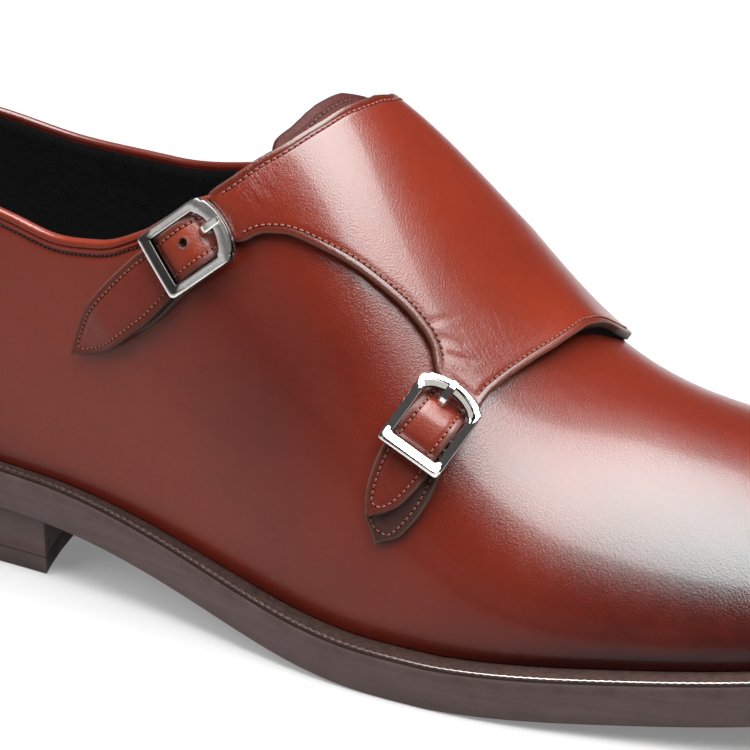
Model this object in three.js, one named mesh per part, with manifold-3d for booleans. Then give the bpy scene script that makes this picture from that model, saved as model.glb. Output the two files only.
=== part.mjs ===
// A right-foot double monk strap shoe, standing on its sole.
// Millimetres. +X points to the toe, +Y to the inner (medial) side, +Z up, and Z = 0 is the floor.
import * as THREE from 'three';
import Module from 'manifold-3d';

const wasm = await Module();
wasm.setup();

// ---------------------------------------------------------------- driving dimensions

const OUTSOLE_THICKNESS = 7.3;
const WELT_THICKNESS = 2.9;
const INSOLE_THICKNESS = 5.6;
const JOINT_GAP = 0.3;              // between two pieces that lie on each other
const CURVED_GAP = 0.5;             // between two pieces that lie on each other's curved faces
const TONGUE_GAP = 1.7;             // between the upper's wall and the tongue inside it
const LEATHER = 2.0;                // wall of the upper
const FLAP_LEATHER = 1.9;
const TONGUE_LEATHER = 2.0;
const STRAP_LEATHER = 1.7;
const TAB_LEATHER = 1.4;

const HEEL_BREAST_X = -75;
const HEEL_BREAST_SETBACK = 4.5;    // how far the middle of the breast lies behind its corners
const HEEL_HEIGHT = 13.6;           // under the outsole, at the breast
const HEEL_SEAT_SLOPE = 0.062;
const TOP_PIECE_THICKNESS = 4.2;
const HEEL_TAPER = 1.2;

const BALL_X = 14;                  // the waist comes down to the floor here
const SPRING_START_X = 27;          // and the sole leaves it again here
const TOE_TIP_X = 150;
const TOE_SPRING = 15.3;
const TOE_SPRING_POWER = 1.3;

// One row for each station, from the back of the heel to the tip of the toe:
// x            station on the outsole's edge
// lat, med     the outsole's half width on the outer and inner side
// weltLat/Med  how far the edge stands out past the upper
// ridgeX/Y/Z   the point of the last's ridge that the station's rib climbs to
// fullLat/Med  height, as a part of the rib's, to which its side stays upright
// swellLat/Med how far the side leans out over the feather line
// crown        radius of the rib as it crosses the ridge
const STATIONS = [
  { x: -150.0, lat: 0.0, med: 0.0, weltLat: 3.0, weltMed: 3.0, ridgeX: -104, ridgeY: 0.0, ridgeZ: 122.0,
    fullLat: 0.62, fullMed: 0.62, swellLat: 6.0, swellMed: 6.0, crown: 60 },
  { x: -141.5, lat: 22.5, med: 22.0, weltLat: 3.0, weltMed: 3.0, ridgeX: -101, ridgeY: 0.0, ridgeZ: 122.0,
    fullLat: 0.62, fullMed: 0.62, swellLat: 5.0, swellMed: 5.0, crown: 60 },
  { x: -117.0, lat: 32.0, med: 32.5, weltLat: 3.0, weltMed: 3.0, ridgeX: -92, ridgeY: 0.0, ridgeZ: 122.0,
    fullLat: 0.62, fullMed: 0.62, swellLat: 3.0, swellMed: 3.0, crown: 60 },
  { x: -78.0, lat: 35.0, med: 32.5, weltLat: 3.0, weltMed: 3.0, ridgeX: -71, ridgeY: 0.0, ridgeZ: 121.0,
    fullLat: 0.60, fullMed: 0.58, swellLat: 3.0, swellMed: 4.5, crown: 50 },
  { x: -36.0, lat: 42.0, med: 29.0, weltLat: 4.0, weltMed: 3.0, ridgeX: -38, ridgeY: 1.0, ridgeZ: 118.0,
    fullLat: 0.50, fullMed: 0.45, swellLat: 3.0, swellMed: 7.0, crown: 32 },
  { x: 0.0, lat: 50.5, med: 34.0, weltLat: 5.0, weltMed: 3.5, ridgeX: -4, ridgeY: 3.0, ridgeZ: 104.0,
    fullLat: 0.42, fullMed: 0.42, swellLat: 3.0, swellMed: 6.0, crown: 30 },
  { x: 36.0, lat: 52.5, med: 46.5, weltLat: 5.5, weltMed: 5.0, ridgeX: 32, ridgeY: 5.0, ridgeZ: 65.0,
    fullLat: 0.45, fullMed: 0.50, swellLat: 3.5, swellMed: 4.0, crown: 34 },
  { x: 66.0, lat: 48.7, med: 52.7, weltLat: 5.5, weltMed: 5.5, ridgeX: 62, ridgeY: 6.5, ridgeZ: 48.0,
    fullLat: 0.50, fullMed: 0.55, swellLat: 3.5, swellMed: 3.5, crown: 42 },
  { x: 96.0, lat: 42.8, med: 49.6, weltLat: 5.5, weltMed: 5.5, ridgeX: 88, ridgeY: 7.0, ridgeZ: 44.5,
    fullLat: 0.55, fullMed: 0.58, swellLat: 3.0, swellMed: 3.0, crown: 46 },
  { x: 123.0, lat: 32.5, med: 39.5, weltLat: 5.5, weltMed: 5.5, ridgeX: 106, ridgeY: 6.0, ridgeZ: 45.0,
    fullLat: 0.58, fullMed: 0.60, swellLat: 3.0, swellMed: 3.0, crown: 42 },
  { x: 141.5, lat: 17.0, med: 26.0, weltLat: 5.5, weltMed: 5.5, ridgeX: 115, ridgeY: 5.0, ridgeZ: 44.6,
    fullLat: 0.60, fullMed: 0.60, swellLat: 3.0, swellMed: 3.0, crown: 36 },
  { x: 150.0, lat: -4.0, med: 4.0, weltLat: 5.5, weltMed: 5.5, ridgeX: 117.5, ridgeY: 4.0, ridgeZ: 44.3,
    fullLat: 0.60, fullMed: 0.60, swellLat: 3.0, swellMed: 3.0, crown: 34 },
];
const TOE = STATIONS.length - 1;    // station number of the toe; the heel is 0
const LOOP = 2 * TOE;               // stations once round: outer side out, inner side back

// Where the upper's wall ends: station, then the part of the rib that is covered, on each side.
const RIM_LATERAL = [
  { at: 0, up: 0.445 }, { at: 1, up: 0.445 }, { at: 2, up: 0.44 }, { at: 2.9, up: 0.406 },
  { at: 3.15, up: 0.397 }, { at: 3.45, up: 0.422 }, { at: 3.71, up: 0.48 },
  { at: 3.87, up: 0.534 }, { at: 4.03, up: 0.588 }, { at: 4.3, up: 0.64 }, { at: 4.6, up: 0.68 },
  { at: 5.0, up: 0.7 }, { at: 5.35, up: 0.73 }, { at: 5.6, up: 0.82 }, { at: 5.75, up: 1 },
];
const RIM_MEDIAL = [
  { at: 0, up: 0.445 }, { at: 1, up: 0.42 }, { at: 1.9, up: 0.37 }, { at: 2.55, up: 0.344 },
  { at: 3.1, up: 0.361 }, { at: 3.6, up: 0.425 }, { at: 4.1, up: 0.56 }, { at: 4.6, up: 0.7 },
  { at: 5.2, up: 0.77 }, { at: 5.6, up: 0.86 }, { at: 5.75, up: 1 },
];
const THROAT_STATION = 5.75;

// The monk flap, measured across the ridge: 0.5 is halfway up the outer side, 1 is the ridge
// and 2 is the feather line on the inner side.
const FLAP_REAR = [
  { across: 0.5, at: 4.0 }, { across: 0.6, at: 4.1 }, { across: 0.65, at: 4.22 },
  { across: 0.712, at: 4.367 }, { across: 0.754, at: 4.468 }, { across: 0.803, at: 4.559 },
  { across: 0.856, at: 4.642 }, { across: 0.915, at: 4.713 }, { across: 0.95, at: 4.757 },
  { across: 1, at: 4.803 }, { across: 1.06, at: 4.812 }, { across: 1.1, at: 4.792 },
  { across: 1.135, at: 4.772 }, { across: 1.2, at: 4.715 }, { across: 1.3, at: 4.56 },
  { across: 1.45, at: 4.2 }, { across: 1.55, at: 4.0 }, { across: 1.75, at: 3.82 },
  { across: 2, at: 3.85 },
];
const FLAP_FRONT = [
  { across: 0.5, at: 5.79 }, { across: 0.6, at: 5.8 }, { across: 0.64, at: 5.82 },
  { across: 0.68, at: 5.857 }, { across: 0.8, at: 5.97 }, { across: 0.9, at: 6.05 },
  { across: 1, at: 6.1 }, { across: 1.1, at: 6.12 }, { across: 1.2, at: 6.15 },
  { across: 1.3, at: 6.14 }, { across: 1.45, at: 5.95 }, { across: 1.75, at: 5.45 },
  { across: 2, at: 5.05 },
];
// The flap's scalloped outer edge between its two strap ends: part of the way from rear to front
// edge, then how far across.
const FLAP_FOOT = 1.98;
const FLAP_EDGE = [
  { part: 0, across: 0.602 }, { part: 0.029, across: 0.589 }, { part: 0.069, across: 0.577 },
  { part: 0.105, across: 0.563 }, { part: 0.135, across: 0.551 }, { part: 0.16, across: 0.546 },
  { part: 0.19, across: 0.556 }, { part: 0.22, across: 0.58 }, { part: 0.268, across: 0.599 },
  { part: 0.3, across: 0.609 }, { part: 0.35, across: 0.618 }, { part: 0.4, across: 0.625 },
  { part: 0.475, across: 0.636 }, { part: 0.55, across: 0.645 }, { part: 0.615, across: 0.65 },
  { part: 0.68, across: 0.652 }, { part: 0.72, across: 0.65 }, { part: 0.76, across: 0.645 },
  { part: 0.8, across: 0.634 }, { part: 0.826, across: 0.618 }, { part: 0.845, across: 0.602 },
  { part: 0.865, across: 0.59 }, { part: 0.89, across: 0.587 }, { part: 0.93, across: 0.591 },
  { part: 0.967, across: 0.594 }, { part: 1, across: 0.6 },
];

// The tongue, measured in the same way.
const TONGUE_REAR = [
  { across: 0.64, at: 4.6 }, { across: 0.7, at: 4.42 }, { across: 0.76, at: 4.397 },
  { across: 0.833, at: 4.485 }, { across: 0.905, at: 4.55 }, { across: 0.97, at: 4.612 },
  { across: 1.032, at: 4.67 }, { across: 1.067, at: 4.685 }, { across: 1.123, at: 4.69 },
  { across: 1.2, at: 4.72 }, { across: 1.36, at: 4.9 },
];
// How much higher it stands round its top edge, and where that swelling ends: part of the way to
// the front edge, then how far across.
const TONGUE_DOME = { height: 2.4, front: 0.4, from: [0.74, 0.92], to: [1.12, 1.32] };
const TONGUE_FRONT_STATION = 6.0;
const TONGUE_FROM = 0.64;
const TONGUE_TO = 1.36;

// The two buckles. Each stands on the outer side where the rib of station `at` is `up` of the way
// up, and its strap points along `toward`.
const BUCKLE = {
  length: 16.8, width: 15.2, bow: 2.0, bar: 2.6, side: 2.0, thickness: 1.7, corner: 1.1,
  prongWidth: 1.9, prongThickness: 1.1, prongShift: -0.9,
};
// The frame's corners get tighter towards its opening.
const CORNER_LOSS = 0.3;
const SMALLEST_CORNER = 0.4;
const CORNER_STEPS = 3;
const BOW_PARTS = [0.15, 0.85];
const BOW_STEPS = 6;
// Height of the frame's underside over the working plane: it rises towards the strap's tip and
// dishes towards its two sides.
const FRAME_HEIGHT = { low: 3.25, rise: 1.5, from: -8, to: 6, dish: 0.01 };
const CENTRE_BAR = { from: -0.8, to: 0.8, height: 2.5, thickness: 1.6 };
const PRONG_PATH = [
  { s: -1.1, height: 2.3 }, { s: -2.9, height: 2.3 }, { s: -4.6, height: 3.9 },
  { s: -6.2, height: 5.4 }, { s: -10.2, height: 5.3 },
];
// The strap's two holes, in the prong's line: the one the prong stands in, and a spare one.
const PRONG_HOLE = { from: -6.7, to: -2.4, width: 2.9 };
const SPARE_HOLE = { from: -1.4, to: 0.9, width: 2.2 };
const HOLE_CUT = { height: -2, thickness: 12 };
const UPPER_BUCKLE = {
  name: 'upper', at: 4.045, up: 0.499, toward: [-0.761, -0.217, -0.611],
  strap: [
    { s: -8.2, left: -5.0, right: 4.6 }, { s: 0, left: -5.1, right: 4.5 },
    { s: 5.5, left: -5.1, right: 4.8 }, { s: 10, left: -5.2, right: 6.6 },
    { s: 20, left: -4.7, right: 7.6 },
    { s: 29, left: -3.4, right: 7.3 }, { s: 36, left: -0.7, right: 5.2 },
    { s: 40.5, left: 1.6, right: 2.6 },
  ],
  rise: [
    { s: -8.2, up: 0.7 }, { s: -7, up: 0.8 }, { s: -5.7, up: 1.3 }, { s: -4, up: 3.0 },
    { s: -0.5, up: 4.3 }, { s: 2.5, up: 3.9 }, { s: 5, up: 2.7 }, { s: 7.5, up: 2.3 },
    { s: 26, up: 2.3 }, { s: 32, up: 1.2 }, { s: 36, up: 0.6 }, { s: 40.5, up: 0.5 },
  ],
  tab: [
    { s: 1.6, left: -4.4, right: 6.6 }, { s: 10, left: -4.3, right: 7.4 },
    { s: 17, left: -3.4, right: 8.2 }, { s: 22, left: -1.0, right: 7.8 },
    { s: 26, left: 2.4, right: 6.6 }, { s: 28, left: 4.4, right: 5.4 },
  ],
};
const LOWER_BUCKLE = {
  name: 'lower', at: 5.573, up: 0.49, toward: [-0.333, -0.675, -0.658],
  strap: [
    { s: -8.2, left: -5.0, right: 4.6 }, { s: 0, left: -5.1, right: 4.5 },
    { s: 5.5, left: -5.1, right: 4.8 }, { s: 9, left: -4.9, right: 6.0 },
    { s: 15, left: -2.9, right: 5.4 },
    { s: 18.5, left: -0.8, right: 3.4 }, { s: 20.3, left: 0.6, right: 1.6 },
  ],
  rise: [
    { s: -8.2, up: 0.7 }, { s: -7, up: 0.8 }, { s: -5.7, up: 1.3 }, { s: -4, up: 3.0 },
    { s: -0.5, up: 4.3 }, { s: 2.5, up: 3.9 }, { s: 5, up: 2.7 }, { s: 7.5, up: 2.3 },
    { s: 20.3, up: 2.3 },
  ],
  tab: [
    { s: 1.6, left: -4.2, right: 6.8 }, { s: 7, left: -3.9, right: 8.0 },
    { s: 12, left: -3.3, right: 9.1 }, { s: 16, left: -2.3, right: 9.4 },
    { s: 21, left: 0.2, right: 8.7 }, { s: 24.5, left: 5.0, right: 6.0 },
  ],
};

// ---------------------------------------------------------------- curves

const CURVE_PASSES = 60;

// A smooth closed curve through equally spaced values, as a function of the station number.
function loopCurve(values) {
  const n = values.length;
  const bend = new Array(n).fill(0);
  for (let pass = 0; pass < CURVE_PASSES; pass += 1) {
    for (let i = 0; i < n; i += 1) {
      const before = (i + n - 1) % n;
      const after = (i + 1) % n;
      const pull = 6 * (values[before] - 2 * values[i] + values[after]);
      bend[i] = (pull - bend[before] - bend[after]) / 4;
    }
  }
  return (at) => {
    const wrapped = ((at % n) + n) % n;
    const i = Math.floor(wrapped) % n;
    const j = (i + 1) % n;
    const b = wrapped - Math.floor(wrapped);
    const a = 1 - b;
    return a * values[i] + b * values[j] + ((a ** 3 - a) * bend[i] + (b ** 3 - b) * bend[j]) / 6;
  };
}

// A smooth curve through a table's rows that never overshoots them.
function tableCurve(rows, key, value) {
  const slopes = rows.map((row, i) => {
    if (i === 0 || i === rows.length - 1) return 0;
    const left = (row[value] - rows[i - 1][value]) / (row[key] - rows[i - 1][key]);
    const right = (rows[i + 1][value] - row[value]) / (rows[i + 1][key] - row[key]);
    return left * right <= 0 ? 0 : (2 * left * right) / (left + right);
  });
  return (at) => {
    const last = rows.length - 1;
    if (at <= rows[0][key]) return rows[0][value];
    if (at >= rows[last][key]) return rows[last][value];
    const i = rows.findIndex((row, n) => n < last && at <= rows[n + 1][key]);
    const width = rows[i + 1][key] - rows[i][key];
    const t = (at - rows[i][key]) / width;
    const rise = rows[i + 1][value] - rows[i][value];
    return rows[i][value] + rise * t * t * (3 - 2 * t)
      + width * (slopes[i] * t * (1 - t) ** 2 - slopes[i + 1] * t * t * (1 - t));
  };
}

function loopOf(lateral, medial) {
  const out = STATIONS.map(lateral);
  const back = STATIONS.slice(1, TOE).reverse().map(medial);
  return loopCurve([...out, ...back]);
}

const edgeX = loopOf((row) => row.x, (row) => row.x);
const edgeY = loopOf((row) => -row.lat, (row) => row.med);
const weltWidth = loopOf((row) => row.weltLat, (row) => row.weltMed);
const ridgeX = loopOf((row) => row.ridgeX, (row) => row.ridgeX);
const ridgeY = loopOf((row) => row.ridgeY, (row) => row.ridgeY);
const ridgeZ = loopOf((row) => row.ridgeZ, (row) => row.ridgeZ);
const fullness = loopOf((row) => row.fullLat, (row) => row.fullMed);
const swell = loopOf((row) => row.swellLat, (row) => row.swellMed);
const crown = loopOf((row) => row.crown, (row) => row.crown);

const SMALL = 0.001;
const END_MARGIN = 0.1;
const slopeOf = (curve, at) => (curve(at + SMALL) - curve(at - SMALL)) / (2 * SMALL);

// Height of the outsole's underside.
function soleHeight(x) {
  if (x < HEEL_BREAST_X) return HEEL_HEIGHT + (HEEL_BREAST_X - x) * HEEL_SEAT_SLOPE;
  const waist = BALL_X - HEEL_BREAST_X;
  const t = Math.min((x - HEEL_BREAST_X) / waist, 1);
  const drop = HEEL_HEIGHT * (2 * t ** 3 - 3 * t ** 2 + 1);
  const seat = -HEEL_SEAT_SLOPE * waist * (t ** 3 - 2 * t ** 2 + t);
  const spring = Math.max(0, (x - SPRING_START_X) / (TOE_TIP_X - SPRING_START_X));
  return drop + seat + TOE_SPRING * spring ** TOE_SPRING_POWER;
}

// ---------------------------------------------------------------- the last

const FEATHER_RISE = OUTSOLE_THICKNESS + WELT_THICKNESS + JOINT_GAP;
const SHOULDER_LIMIT = 0.9;    // of the way from the edge to the ridge

// The sole's edge, moved in by `inset`, with the unit vector that points out of it.
function edgePoint(at, inset) {
  const alongX = slopeOf(edgeX, at);
  const alongY = slopeOf(edgeY, at);
  const length = Math.hypot(alongX, alongY);
  const outX = alongY / length;
  const outY = -alongX / length;
  return { x: edgeX(at) - outX * inset, y: edgeY(at) - outY * inset, outX, outY };
}

// How steeply the ridge falls forward. Its two ends are turning points, so it is read beside them.
function slopeOfRidge(at) {
  const fromToe = Math.max(Math.abs(TOE - at), END_MARGIN);
  const near = Math.max(TOE - fromToe, END_MARGIN);
  return slopeOf(ridgeZ, near) / slopeOf(ridgeX, near);
}

// A point of the upper's outer face: `up` runs from 0 at the feather line to 1 at the ridge.
function lastPoint(at, up) {
  const foot = edgePoint(at, weltWidth(at));
  const footZ = soleHeight(foot.x) + FEATHER_RISE;
  const top = new THREE.Vector3(ridgeX(at), ridgeY(at), ridgeZ(at));
  const rise = top.z - footZ;
  const full = fullness(at);
  const lean = swell(at);
  const inX = top.x - foot.x;
  const inY = top.y - foot.y;
  const run = Math.hypot(inX, inY);
  const round = Math.sqrt((2 / 3) * crown(at) * (1 - full) * rise);
  const shoulder = Math.min(round, SHOULDER_LIMIT * run);
  const ridgeSlope = slopeOfRidge(at);
  const a = (1 - up) ** 3;
  const b = 3 * up * (1 - up) ** 2;
  const c = 3 * up * up * (1 - up);
  const d = up ** 3;
  return new THREE.Vector3(
    a * foot.x + b * (foot.x + foot.outX * lean) + c * (top.x - (inX / run) * shoulder) + d * top.x,
    a * foot.y + b * (foot.y + foot.outY * lean) + c * (top.y - (inY / run) * shoulder) + d * top.y,
    a * footZ + b * (footZ + full * rise) + c * (top.z - (inX / run) * shoulder * ridgeSlope) + d * top.z,
  );
}

function lastNormal(at, up) {
  const high = Math.min(up + SMALL, 1);
  const low = Math.max(up - SMALL, 0);
  const along = lastPoint(at + SMALL, up).sub(lastPoint(at - SMALL, up));
  const climb = lastPoint(at, high).sub(lastPoint(at, low));
  return along.cross(climb).normalize();
}

// The same face measured across the ridge: below 1 on the outer side, above 1 on the inner side.
function acrossPoint(at, across) {
  return across <= 1 ? lastPoint(at, across) : lastPoint(LOOP - at, 2 - across);
}

function acrossNormal(at, across) {
  if (Math.abs(across - 1) < SMALL) {
    return lastNormal(at, 1).add(lastNormal(LOOP - at, 1)).normalize();
  }
  return across < 1 ? lastNormal(at, across) : lastNormal(LOOP - at, 2 - across);
}

// ---------------------------------------------------------------- solids from sheets

const SAME_POINT = 0.0005;

// A sheet is a mesh of points, each with a direction; it becomes a closed plate between
// two distances along that direction.
class Sheet {
  constructor() {
    this.points = [];
    this.faces = [];
    this.known = new Map();
  }

  add(point, normal, low, high) {
    const key = [point.x, point.y, point.z].map((value) => Math.round(value / SAME_POINT)).join();
    if (this.known.has(key)) {
      const index = this.known.get(key);
      this.points[index].normal.add(normal);
      return index;
    }
    this.points.push({ point, normal: normal.clone(), low, high });
    this.known.set(key, this.points.length - 1);
    return this.points.length - 1;
  }

  grid(rows, closed = false) {
    const count = closed ? rows.length : rows.length - 1;
    for (let i = 0; i < count; i += 1) {
      const row = rows[i];
      const next = rows[(i + 1) % rows.length];
      for (let j = 0; j < row.length - 1; j += 1) {
        this.face(row[j], next[j], next[j + 1]);
        this.face(row[j], next[j + 1], row[j + 1]);
      }
    }
    return this;
  }

  face(a, b, c) {
    if (a !== b && b !== c && c !== a) this.faces.push([a, b, c]);
  }

  geometry() {
    const count = this.points.length;
    const positions = [];
    for (const side of ['high', 'low']) {
      for (const entry of this.points) {
        const moved = entry.normal.clone().normalize().multiplyScalar(entry[side]).add(entry.point);
        positions.push(moved.x, moved.y, moved.z);
      }
    }
    const edges = new Set(this.faces.flatMap(([a, b, c]) => [`${a},${b}`, `${b},${c}`, `${c},${a}`]));
    const index = [];
    for (const [a, b, c] of this.faces) {
      index.push(a, b, c, count + a, count + c, count + b);
      for (const [from, to] of [[a, b], [b, c], [c, a]]) {
        if (!edges.has(`${to},${from}`)) {
          index.push(to, from, count + from, to, count + from, count + to);
        }
      }
    }
    const geometry = new THREE.BufferGeometry();
    geometry.setAttribute('position', new THREE.Float32BufferAttribute(positions, 3));
    geometry.setIndex(index);
    if (signedVolume(geometry) < 0) index.reverse();
    geometry.setIndex(index);
    return geometry;
  }
}

function signedVolume(geometry) {
  const position = geometry.getAttribute('position');
  const index = geometry.getIndex();
  const corner = (n) => new THREE.Vector3().fromBufferAttribute(position, index.getX(n));
  let total = 0;
  for (let i = 0; i < index.count; i += 3) {
    total += corner(i).dot(corner(i + 1).cross(corner(i + 2))) / 6;
  }
  return total;
}

function steps(from, to, count) {
  return Array.from({ length: count + 1 }, (_, i) => from + ((to - from) * i) / count);
}

const UP = new THREE.Vector3(0, 0, 1);

// A plate that follows the sole, from `low` to `high` above the outsole's underside. `inset` is its
// distance from the sole's edge.
function solePlate(inset, low, high, stations, lanes) {
  const sheet = new Sheet();
  const rows = stations.map((at) => {
    const outer = edgePoint(at, inset(at));
    const inner = edgePoint(LOOP - at, inset(LOOP - at));
    return steps(0, 1, lanes).map((part) => {
      const x = outer.x + (inner.x - outer.x) * part;
      const y = outer.y + (inner.y - outer.y) * part;
      return sheet.add(new THREE.Vector3(x, y, soleHeight(x)), UP, low, high);
    });
  });
  return sheet.grid(rows).geometry();
}

const SOLE_STEPS = 44;
const SOLE_LANES = 2;
const SOLE_STATIONS = steps(0, TOE, SOLE_STEPS);

// ---------------------------------------------------------------- sole

function makeOutsole() {
  return solePlate(() => 0, 0, OUTSOLE_THICKNESS, SOLE_STATIONS, SOLE_LANES);
}

const WELT_REACH = 0.4;      // how far the welt reaches in past the upper's wall
const INSOLE_ROOM = 1.1;     // from the upper's wall to the insole's edge

// The welt is a ring between outsole and upper, reaching in under the upper's wall.
function makeWelt() {
  const sheet = new Sheet();
  const low = OUTSOLE_THICKNESS + JOINT_GAP;
  const rows = steps(0, LOOP, 2 * SOLE_STEPS).slice(0, -1).map((at) => {
    const outer = edgePoint(at, 0);
    const inner = edgePoint(at, weltWidth(at) + LEATHER + WELT_REACH);
    return [outer, inner].map(({ x, y }) => (
      sheet.add(new THREE.Vector3(x, y, soleHeight(x)), UP, low, low + WELT_THICKNESS - JOINT_GAP)
    ));
  });
  return sheet.grid(rows, true).geometry();
}

// The insole, with the filler under it, fills the welt's ring and lies inside the upper's wall.
function makeInsole() {
  const low = OUTSOLE_THICKNESS + JOINT_GAP;
  const inset = (at) => weltWidth(at) + LEATHER + INSOLE_ROOM;
  return solePlate(inset, low, low + INSOLE_THICKNESS, SOLE_STATIONS, SOLE_LANES);
}

const HEEL_STEPS = 13;
const BREAST_STEPS = 6;

// A layer of the heel, with an upright concave breast, between two heights given as functions of x.
function heelLayer(lowOf, highOf) {
  const sheet = new Sheet();
  const cornerStation = 3 + (HEEL_BREAST_X - STATIONS[3].x) / (STATIONS[4].x - STATIONS[3].x);
  const rows = steps(0, cornerStation, HEEL_STEPS).map((at, i, all) => {
    const outer = edgePoint(at, HEEL_TAPER);
    const inner = edgePoint(LOOP - at, HEEL_TAPER);
    return steps(0, 1, BREAST_STEPS).map((part) => {
      const bulge = 4 * part * (1 - part);
      const setback = HEEL_BREAST_SETBACK * bulge * (i / (all.length - 1)) ** 2;
      const x = outer.x + (inner.x - outer.x) * part - setback;
      const y = outer.y + (inner.y - outer.y) * part;
      return sheet.add(new THREE.Vector3(x, y, 0), UP, lowOf(x), highOf(x));
    });
  });
  return sheet.grid(rows).geometry();
}

function makeHeelStack() {
  const top = (x) => soleHeight(Math.min(x, HEEL_BREAST_X)) - JOINT_GAP;
  return heelLayer(() => TOP_PIECE_THICKNESS + JOINT_GAP, top);
}

function makeHeelTopPiece() {
  return heelLayer(() => 0, () => TOP_PIECE_THICKNESS);
}

// ---------------------------------------------------------------- upper, flap and tongue

// The upper's ribs: closer together along the mouth's slope and at the throat.
const MOUTH_STATION = 3.6;
const INSTEP_STATION = 5.4;
const RIBS = { heel: 10, mouth: 7, throat: 5, toe: 15 };
const WALL_STEPS = 12;
const FLAP_STEPS = 22;
const FLAP_EVENNESS = 0.75;    // 1 spaces the flap's points evenly from its outer edge to its foot
const TONGUE_STEPS = { along: 12, across: 14 };

const sideStations = [
  ...steps(0, MOUTH_STATION, RIBS.heel).slice(0, -1),
  ...steps(MOUTH_STATION, INSTEP_STATION, RIBS.mouth).slice(0, -1),
  ...steps(INSTEP_STATION, THROAT_STATION, RIBS.throat).slice(0, -1),
  ...steps(THROAT_STATION, TOE, RIBS.toe),
];

// The upper's wall: open along the rim, round the throat under the flap, and underneath.
function makeUpper() {
  const sheet = new Sheet();
  const rimLateral = tableCurve(RIM_LATERAL, 'at', 'up');
  const rimMedial = tableCurve(RIM_MEDIAL, 'at', 'up');
  const ring = [...sideStations, ...sideStations.slice(1, -1).reverse().map((at) => LOOP - at)];
  const rows = ring.map((at) => {
    const rim = at <= TOE ? rimLateral(at) : rimMedial(LOOP - at);
    return steps(0, 1, WALL_STEPS).map((part) => {
      const up = rim * part;
      return sheet.add(lastPoint(at, up), lastNormal(at, up), -LEATHER, 0);
    });
  });
  return sheet.grid(rows, true).geometry();
}

function makeFlap() {
  const sheet = new Sheet();
  const rear = tableCurve(FLAP_REAR, 'across', 'at');
  const front = tableCurve(FLAP_FRONT, 'across', 'at');
  const edge = tableCurve(FLAP_EDGE, 'part', 'across');
  const rows = FLAP_EDGE.map(({ part }) => (
    steps(0, 1, FLAP_STEPS).map((climb) => {
      const reach = climb * (FLAP_EVENNESS + (1 - FLAP_EVENNESS) * climb);
      const across = edge(part) + (FLAP_FOOT - edge(part)) * reach;
      const at = rear(across) + (front(across) - rear(across)) * part;
      return sheet.add(
        acrossPoint(at, across),
        acrossNormal(at, across),
        CURVED_GAP,
        CURVED_GAP + FLAP_LEATHER,
      );
    })
  ));
  return sheet.grid(rows).geometry();
}

function tongueDome(part, across) {
  const { height, front, from, to } = TONGUE_DOME;
  const { smoothstep } = THREE.MathUtils;
  const sides = smoothstep(across, ...from) * (1 - smoothstep(across, ...to));
  return height * (1 - smoothstep(part, 0, front)) * sides;
}

function makeTongue() {
  const sheet = new Sheet();
  const rear = tableCurve(TONGUE_REAR, 'across', 'at');
  const rows = steps(0, 1, TONGUE_STEPS.along).map((part) => (
    steps(TONGUE_FROM, TONGUE_TO, TONGUE_STEPS.across).map((across) => {
      const at = rear(across) + (TONGUE_FRONT_STATION - rear(across)) * part;
      const high = tongueDome(part, across) - LEATHER - TONGUE_GAP;
      return sheet.add(acrossPoint(at, across), acrossNormal(at, across), high - TONGUE_LEATHER, high);
    })
  ));
  return sheet.grid(rows).geometry();
}

// ---------------------------------------------------------------- straps and buckles

const DROP_PASSES = 12;
const STRAP_STEP = 1.4;
const STRAP_LANES = 4;
const TAB_STEPS = 12;

// A flat working plane that touches the last where a buckle stands.
function buckleFrame(buckle) {
  const origin = lastPoint(buckle.at, buckle.up);
  const out = lastNormal(buckle.at, buckle.up);
  const along = new THREE.Vector3(...buckle.toward).projectOnPlane(out).normalize();
  const side = out.clone().cross(along);
  return { origin, out, along, side };
}

// The point of the last straight under a point of the working plane.
function dropToLast(buckle, s, t) {
  const { origin, along, side } = buckleFrame(buckle);
  let at = buckle.at;
  let up = buckle.up;
  for (let pass = 0; pass < DROP_PASSES; pass += 1) {
    const miss = (p) => [p.clone().sub(origin).dot(along) - s, p.clone().sub(origin).dot(side) - t];
    const here = miss(lastPoint(at, up));
    const stepAt = miss(lastPoint(at + SMALL, up)).map((value, i) => (value - here[i]) / SMALL);
    const stepUp = miss(lastPoint(at, up + SMALL)).map((value, i) => (value - here[i]) / SMALL);
    const area = stepAt[0] * stepUp[1] - stepAt[1] * stepUp[0];
    at -= (here[0] * stepUp[1] - here[1] * stepUp[0]) / area;
    up -= (stepAt[0] * here[1] - stepAt[1] * here[0]) / area;
  }
  return { point: lastPoint(at, up), normal: lastNormal(at, up) };
}

// A leather strip that follows the last under the outline of a table.
function strip(buckle, outline, rise, thickness, lengthSteps, widthSteps) {
  const sheet = new Sheet();
  const left = tableCurve(outline, 's', 'left');
  const right = tableCurve(outline, 's', 'right');
  const from = outline[0].s;
  const to = outline[outline.length - 1].s;
  const rows = steps(from, to, lengthSteps).map((s) => (
    steps(left(s), right(s), widthSteps).map((t) => {
      const { point, normal } = dropToLast(buckle, s, t);
      return sheet.add(point, normal, rise(s), rise(s) + thickness);
    })
  ));
  return sheet.grid(rows).geometry();
}

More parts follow.
